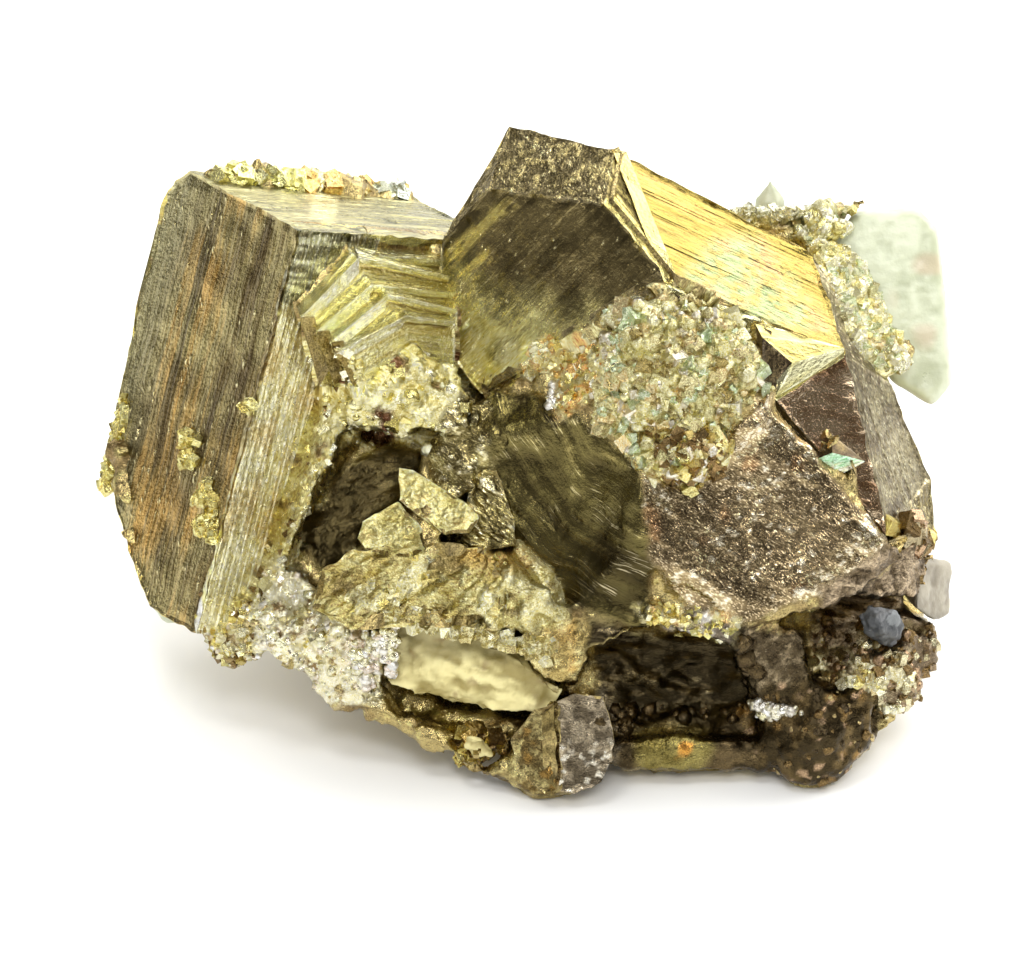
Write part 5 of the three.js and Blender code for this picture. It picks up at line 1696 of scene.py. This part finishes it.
def ridge_line():
    """Four little heaps in a line along the ridge over the side crystal."""
    return [
        heap((19.6 + 1.6 * i, 22.6, -2.9), (0, 0.2, 1), (0.6, 1.2, 0.4), 40, (0.3, 0.9),
             [(0.78, 0.78, 0.62), PALE], 383 + i, 0.36)
        for i in range(4)
    ]


def crumb_cubes(left, right):
    """Cubic crumbs wherever the core is broken."""
    heaps, line = ledge_cubes()
    return joined([
        crust(left, BRIGHT_RUBBLE, 70, (0.4, 1.2), RUBBLE_TONES, 310, 0.24, sunk=0.3),
        crust(left, LOW_LEFT, 160, (0.3, 0.9), SILVERY, 312, 0.22),
        crust(left, WEST_RIDGE, 180, (0.25, 0.7), [BRASS, STRAW, PALE, UMBER], 314, 0.26, sunk=0.35),
        crust(right, BRIGHT_LIP, 150, (0.25, 0.7), [STRAW, BRASS, (0.84, 0.80, 0.36), PALE], 316, sunk=0.35),
        crust(right, EAST_CRUMBS, 420, (0.4, 1.1), EAST_TONES, 318, 0.4, sunk=0.3),
        crust(right, EAST_FOOT, 160, (0.3, 0.9), DULL_STRAW, 320),
        crust(left, SHELF, 90, (0.3, 0.8), [BRASS, STRAW, PALE], 322, 0.25, sunk=0.4),
        crust(left, CRUMBLY_FOOT, 120, (0.3, 0.9), [STRAW, PALE, BRASS, UMBER], 324),
        *heaps,
        *shelf_lip(),
        heap((-4.9, -25.0, 3.4), (0, -0.3, 1), (1.9, 1.7, 0.3), 110, (0.6, 1.4),
             [UMBER, BRASS, (0.45, 0.33, 0.12)], 380),
        heap((1.6, 9.6, 7.8), (-0.3, 0.1, 1), (1.7, 2.1, 0.4), 130, (0.3, 0.9), STAINED, 381, 0.34),
        heap((30.4, -19.2, 6.8), (0.2, 0.2, 1), (1.2, 2.2, 0.4), 90, (0.3, 0.9),
             [STRAW, PALE, (0.7, 0.6, 0.36)], 382, 0.36),
        *ridge_line(),
        heap((34.4, -6.9, 2.6), (0.6, -0.6, 0.5), (3.0, 1.7, 0.5), 110, (0.6, 1.6),
             [UMBER, BRONZE, (0.42, 0.36, 0.24)], 337, 0.34, 0.4),
        *line,
    ])


def edge_row():
    """The row of coloured cubes along the broad crystal's upper end."""
    up = -broad_axes()[0]
    return joined([
        heap(broad_place(0.2, 15.2 - 0.05 * c, c), up, (1.2, 1.1, 0.7), 9,
             (0.7 * size, size), [tone], 340 + i)
        for i, (c, size, tone) in enumerate(BACK_ROW)
    ])


def rounded_grains(left, right):
    """Rounded grains: two rosy heaps at the lower left, small ones at the right, and crusts."""
    return joined([
        *[heap(*row, shape=BEAD) for row in BEAD_HEAPS],
        crust(left, LOW_LEFT, 300, (0.4, 1.1), SILVERY, 350, 0.36, sunk=0.25, shape=BEAD),
        crust(left, BRIGHT_RUBBLE, 130, (0.5, 1.5), [PALE, STRAW, (0.96, 0.90, 0.52)], 352,
              0.3, 0.5, 0.45, BEAD),
        crust(right, DRUSE, 420, (0.6, 1.6), DRUSE_TONES, 354, 0.42, 0.4, 0.1, BEAD),
        crust(right, EAST_FOOT, 70, (0.5, 1.3), [(0.80, 0.74, 0.5), BRONZE, UMBER], 356,
              0.34, 0.5, 0.2, BEAD),
        # Painted shade: near-black grains along the hollow's edge and on the dark foot.
        crust(right, HOLLOW_EDGE, 60, (0.8, 1.9), SHADE_BLACKS, 362, 0.3, 0.5, 0.35, BEAD),
        crust(right, DARK_FOOT, 60, (0.4, 1.2), [UMBER, SHADE_BLACK, (0.5, 0.4, 0.2)], 358,
              0.34, 0.5, 0.3, BEAD),
    ])


# ---- Shader building ----
class Wire:
    """A shader socket whose sums and products add the nodes that work them out."""

    def __init__(self, sheet, socket):
        self.sheet = sheet
        self.socket = socket

    def _math(self, operation, *values):
        return self.sheet.node("ShaderNodeMath", {"operation": operation}, dict(enumerate(values)))

    def __add__(self, other):
        return self._math("ADD", self, other)

    def __mul__(self, other):
        return self._math("MULTIPLY", self, other)

    def __sub__(self, other):
        return self._math("SUBTRACT", self, other)

    def __rsub__(self, other):
        return self._math("SUBTRACT", other, self)

    __radd__ = __add__
    __rmul__ = __mul__


class Sheet:
    """A material's node tree."""

    def __init__(self, name):
        self.material = bpy.data.materials.new(name)
        self.material.use_nodes = True
        self.tree = self.material.node_tree
        self.shader = self.tree.nodes["Principled BSDF"]

    def node(self, kind, settings=None, sockets=None, output=0):
        """A node with its settings, then its sockets' values or links; gives one output back."""
        made = self.tree.nodes.new(kind)
        for setting, value in (settings or {}).items():
            setattr(made, setting, value)
        for socket, value in (sockets or {}).items():
            self.put(made.inputs[socket], value)
        return Wire(self, made.outputs[output])

    def put(self, socket, value):
        """A link where the value is a wire, and otherwise the value itself."""
        if isinstance(value, Wire):
            self.tree.links.new(value.socket, socket)
        elif isinstance(value, tuple) and len(value) == 3 and socket.type == "RGBA":
            socket.default_value = (*value, 1)
        else:
            socket.default_value = value

    def finish(self, socket, value):
        """A value or a wire on the shader's own socket."""
        self.put(self.shader.inputs[socket], value)

    def painted(self, label, output="Fac"):
        """What is stored at a piece's corners under a label."""
        return self.node("ShaderNodeAttribute", {"attribute_name": label}, output=output)

    def blend(self, share, first, second, how="MIX"):
        """Two colours mixed by a share."""
        settings = {"data_type": "RGBA", "blend_type": how, "clamp_factor": True}
        return self.node("ShaderNodeMix", settings, {0: share, 6: first, 7: second}, 2)

    def noise(self, size, detail=2.0, roughness=0.5, place=None):
        """Noise with features about size millimetres across, 0 to 1, on Object coordinates."""
        at = place or self.node("ShaderNodeTexCoord", output="Object")
        scale = 1 / size if place else 1 / (size * MM)
        sockets = {"Vector": at, "Scale": scale, "Detail": detail, "Roughness": roughness}
        return self.node("ShaderNodeTexNoise", {}, sockets)

    def vector(self, operation, first, second):
        """Two vectors, or a vector and a scale, combined."""
        sockets = {0: first, 3 if operation == "SCALE" else 1: second}
        return self.node("ShaderNodeVectorMath", {"operation": operation}, sockets)

    def cells(self, size, place):
        """Random cells with crooked borders, about size millimetres across: a colour each."""
        crooked = self.node("ShaderNodeTexNoise", {}, {"Vector": place, "Scale": 1 / (1.5 * size)}, 1)
        moved = self.vector("ADD", place, self.vector("SCALE", crooked, 0.8 * size))
        sockets = {"Vector": moved, "Scale": 1 / size, "Randomness": 1.0}
        return self.node("ShaderNodeTexVoronoi", {}, sockets, "Color")


FACET = 0.2  # mm across one glinting facet
THREAD = 0.13  # mm across the finest lines or grains
CALM = 0.16  # surfaces smoother than this neither glint in facets nor show fine grain


def pyrite_finish():
    """Metallic pyrite: painted tone with fine grain, and tiny facets that lean where it is rough."""
    sheet = Sheet("pyrite")
    tone = sheet.painted("tone", "Color")
    rough = sheet.painted("rough")
    flow = sheet.painted("flow", "Vector")
    grain = sheet.noise(0.35, 4.0, 0.6)
    patches = sheet.noise(1.3, 3.0)
    thread = (sheet.noise(THREAD, 3.0, 0.6, flow) - 0.5) * 2.6 + 0.5
    keen = (rough - CALM) * 3.5
    dim = sheet.blend(patches * 0.3, tone, (0.14, 0.105, 0.05))
    grainy = sheet.blend(grain * 0.3, dim, (0.9, 0.8, 0.5), "OVERLAY")
    fine = sheet.blend(keen, grainy, thread, "OVERLAY")
    spark = sheet.painted("spark")
    # Painted glints: where the fine grain and the spark run high, the base colour turns to a lightened copy
    # of the tone.
    glint = sheet.vector("ADD", sheet.vector("SCALE", tone, 2.2), (0.38, 0.33, 0.22))
    lit = sheet.vector("MINIMUM", glint, (0.98, 0.94, 0.78))
    sheet.finish("Base Color", sheet.blend((thread + spark * 0.5 - 1.12) * 7, fine, lit))
    sheet.finish("Roughness", rough * 0.6 + (grain - 0.5) * 0.12 + 0.09)
    sheet.finish("Metallic", 1.0)
    bump = {"Height": grain + thread * keen * 0.35, "Strength": 0.7, "Distance": 0.00012}
    smooth = sheet.node("ShaderNodeBump", {}, bump)
    lean = sheet.vector("SUBTRACT", sheet.cells(FACET, flow), (0.5, 0.5, 0.5))
    leaning = sheet.vector("SCALE", lean, (rough - CALM) * 1.8)
    facets = sheet.vector("ADD", smooth, leaning)
    sheet.finish("Normal", sheet.vector("NORMALIZE", facets, (0.0, 0.0, 0.0)))
    return sheet.material


def stone_finish(name, clear, metal, shine, veil_tone=(0.62, 0.64, 0.46)):
    """A stone that isn't pyrite: painted tone and roughness, with fine grain."""
    sheet = Sheet(name)
    tone = sheet.painted("tone", "Color")
    rough = sheet.painted("rough")
    grain = sheet.noise(0.5, 4.0, 0.6)
    veil = sheet.noise(2.2, 3.0)
    clouded = sheet.blend(veil * 0.4, tone, veil_tone)
    sheet.finish("Base Color", clouded)
    sheet.finish("Roughness", rough + (grain - 0.5) * 0.2)
    sheet.finish("Transmission Weight", clear)
    sheet.finish("IOR", 1.54 if clear else 1.8)
    sheet.finish("Metallic", metal)
    bump = {"Height": grain, "Strength": shine, "Distance": 0.0002}
    sheet.finish("Normal", sheet.node("ShaderNodeBump", {}, bump))
    return sheet.material


# ---- Camera, lights and floor ----
CAMERA_AWAY = 1500  # mm, along the show face's direction
CAMERA_AIM = (-1.53, -1.8)  # where the picture's middle falls on the show face
VIEW_WIDTH = 91.98  # mm across the picture at the object
SENSOR = 36  # mm
AIM_HEIGHT = 0.025  # metres over the floor that every lamp points at
FLOOR_HALF = 1.2  # metres from the specimen to the floor's edge
MIRRORED_ROOM = (0.14, 0.13, 0.11, 1)  # what the metal mirrors
SEEN_ROOM = (0.95, 0.95, 0.94, 1)  # what the camera sees, and what lights everything dull
# Each lamp: name, direction from the specimen, metres away, width and height in metres, watts.
LAMPS = [
    ("key lamp", (0.62, 0.41, 0.67), 0.7, (0.7, 0.6), 5.6),
    ("back lamp", (0.1, 0.9, 0.25), 0.9, (1.0, 0.3), 2.5),
    ("left lamp", (-0.7, 0.7, 0.5), 0.9, (0.3, 0.3), 2.0),
    ("front lamp", (0.05, -0.72, 0.69), 1.1, (0.3, 0.22), 3.6),
    ("high lamp", (-0.15, -0.35, 0.92), 0.9, (0.22, 0.22), 1.8),
    ("low lamp", (-0.84, -0.47, 0.3), 1.0, (0.6, 0.6), 0.5),
]


def facing(obj, direction):
    """Turns a camera or a light to look along a direction of the row frame."""
    obj.rotation_mode = "QUATERNION"
    obj.rotation_quaternion = Vector(direction).to_track_quat("-Z", "Y")


def make_camera():
    """A long lens straight out from the show face."""
    camera = bpy.data.objects.new("camera", bpy.data.cameras.new("camera"))
    bpy.context.collection.objects.link(camera)
    camera.location = to_row(np.array([*CAMERA_AIM, CAMERA_AWAY]))
    facing(camera, -AXES[2])
    camera.data.sensor_width = SENSOR
    camera.data.lens = SENSOR * CAMERA_AWAY / VIEW_WIDTH
    camera.data.clip_start = 0.1
    camera.data.clip_end = 10
    bpy.context.scene.camera = camera


def soft_box(name, direction, away, size, power):
    """A rectangular lamp, away metres from the specimen in a direction, facing it."""
    lamp = bpy.data.lights.new(name, "AREA")
    lamp.shape = "RECTANGLE"
    lamp.size, lamp.size_y = size
    lamp.energy = power
    holder = bpy.data.objects.new(name, lamp)
    bpy.context.collection.objects.link(holder)
    direction = unit(direction)
    holder.location = direction * away + np.array([0, 0, AIM_HEIGHT])
    facing(holder, -direction)


def make_studio():
    """Soft lamps, a pale floor, and a dim room that the metal mirrors but the camera sees pale."""
    for lamp in LAMPS:
        soft_box(*lamp)
    mesh = bpy.data.meshes.new("floor")
    corners = [(FLOOR_HALF * x, FLOOR_HALF * y, 0) for x, y in ((-1, -1), (1, -1), (1, 1), (-1, 1))]
    mesh.from_pydata(corners, [], [(0, 1, 2, 3)])
    floor = bpy.data.objects.new("floor", mesh)
    bpy.context.collection.objects.link(floor)
    sheet = Sheet("floor")
    sheet.finish("Base Color", (0.85, 0.85, 0.84))
    sheet.finish("Roughness", 0.9)
    mesh.materials.append(sheet.material)

    world = bpy.data.worlds.new("room")
    bpy.context.scene.world = world
    world.use_nodes = True
    tree = world.node_tree
    dim = tree.nodes["Background"]
    dim.inputs["Color"].default_value = MIRRORED_ROOM
    pale = tree.nodes.new("ShaderNodeBackground")
    pale.inputs["Color"].default_value = SEEN_ROOM
    ray = tree.nodes.new("ShaderNodeLightPath")
    choice = tree.nodes.new("ShaderNodeMixShader")
    sources = (ray.outputs["Is Glossy Ray"], pale.outputs[0], dim.outputs[0])
    for source, socket in zip(sources, choice.inputs):
        tree.links.new(source, socket)
    tree.links.new(choice.outputs[0], tree.nodes["World Output"].inputs["Surface"])
    bpy.context.scene.view_settings.view_transform = "Standard"


make_camera()
make_studio()
brass = pyrite_finish()
pyrite_piece("broad_crystal", broad_crystal(), brass)
pyrite_piece("tall_crystal", cut_crystal(TALL_POINTS, TALL_LOOKS), brass)
side_skin = joined([
    cut_crystal(SIDE_POINTS, SIDE_LOOKS), cut_crystal(BRIGHT_STEP, STEP_LOOKS, 0.03),
    cut_crystal(TEAL_STEP, TEAL_LOOKS, 0.03),
])
pyrite_piece("side_crystal", side_skin, brass)
pyrite_piece("growth_steps", growth_steps(), brass)
pyrite_piece("recess_blocks", recess_blocks(), brass)
cores = list(core_skins())
for name, (skin, _) in zip(("core_left", "core_right", "core_back"), cores):
    pyrite_piece(name, skin, brass, smooth=True)

left, right, _ = cores
pyrite_piece("druse", druse_cubes(right), brass)
pyrite_piece("crumbs", crumb_cubes(left, right), brass)
pyrite_piece("back_row", edge_row(), brass)
pyrite_piece("grains", rounded_grains(left, right), brass, smooth=True)

milk = stone_finish("milky quartz", 0.25, 0.0, 0.25)
honey = stone_finish("yellowed quartz", 0.1, 0.0, 0.5, (0.62, 0.50, 0.18))
smoke = stone_finish("smoky quartz", 0.1, 0.0, 0.5, (0.36, 0.32, 0.25))
blende = stone_finish("sphalerite", 0.0, 0.0, 0.8, (0.03, 0.035, 0.04))
# Each stone: its CAD node, rounds of wear, look, finish and material slot.
STONES = [
    ("quartz_block", 14, milky, milk, "quartz"), ("quartz_vein", 4, yellowed, honey, "quartz"),
    ("quartz_chip", 4, milky, milk, "quartz"), ("quartz_crumb", 3, yellowed, honey, "quartz"),
    ("quartz_point", 1, milky, milk, "quartz"), ("quartz_nub", 6, smoky, smoke, "quartz"),
    ("sphalerite_grain", 5, pitted_blue, blende, "sphalerite"),
]
for salt, (node, rounds, look, finish, slot) in enumerate(STONES):
    piece = store(node + "_skin", stone(node, rounds, look, 400 + 10 * salt), smooth=True)
    piece.data.materials.append(finish)
    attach(piece, "root")
    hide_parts(node)
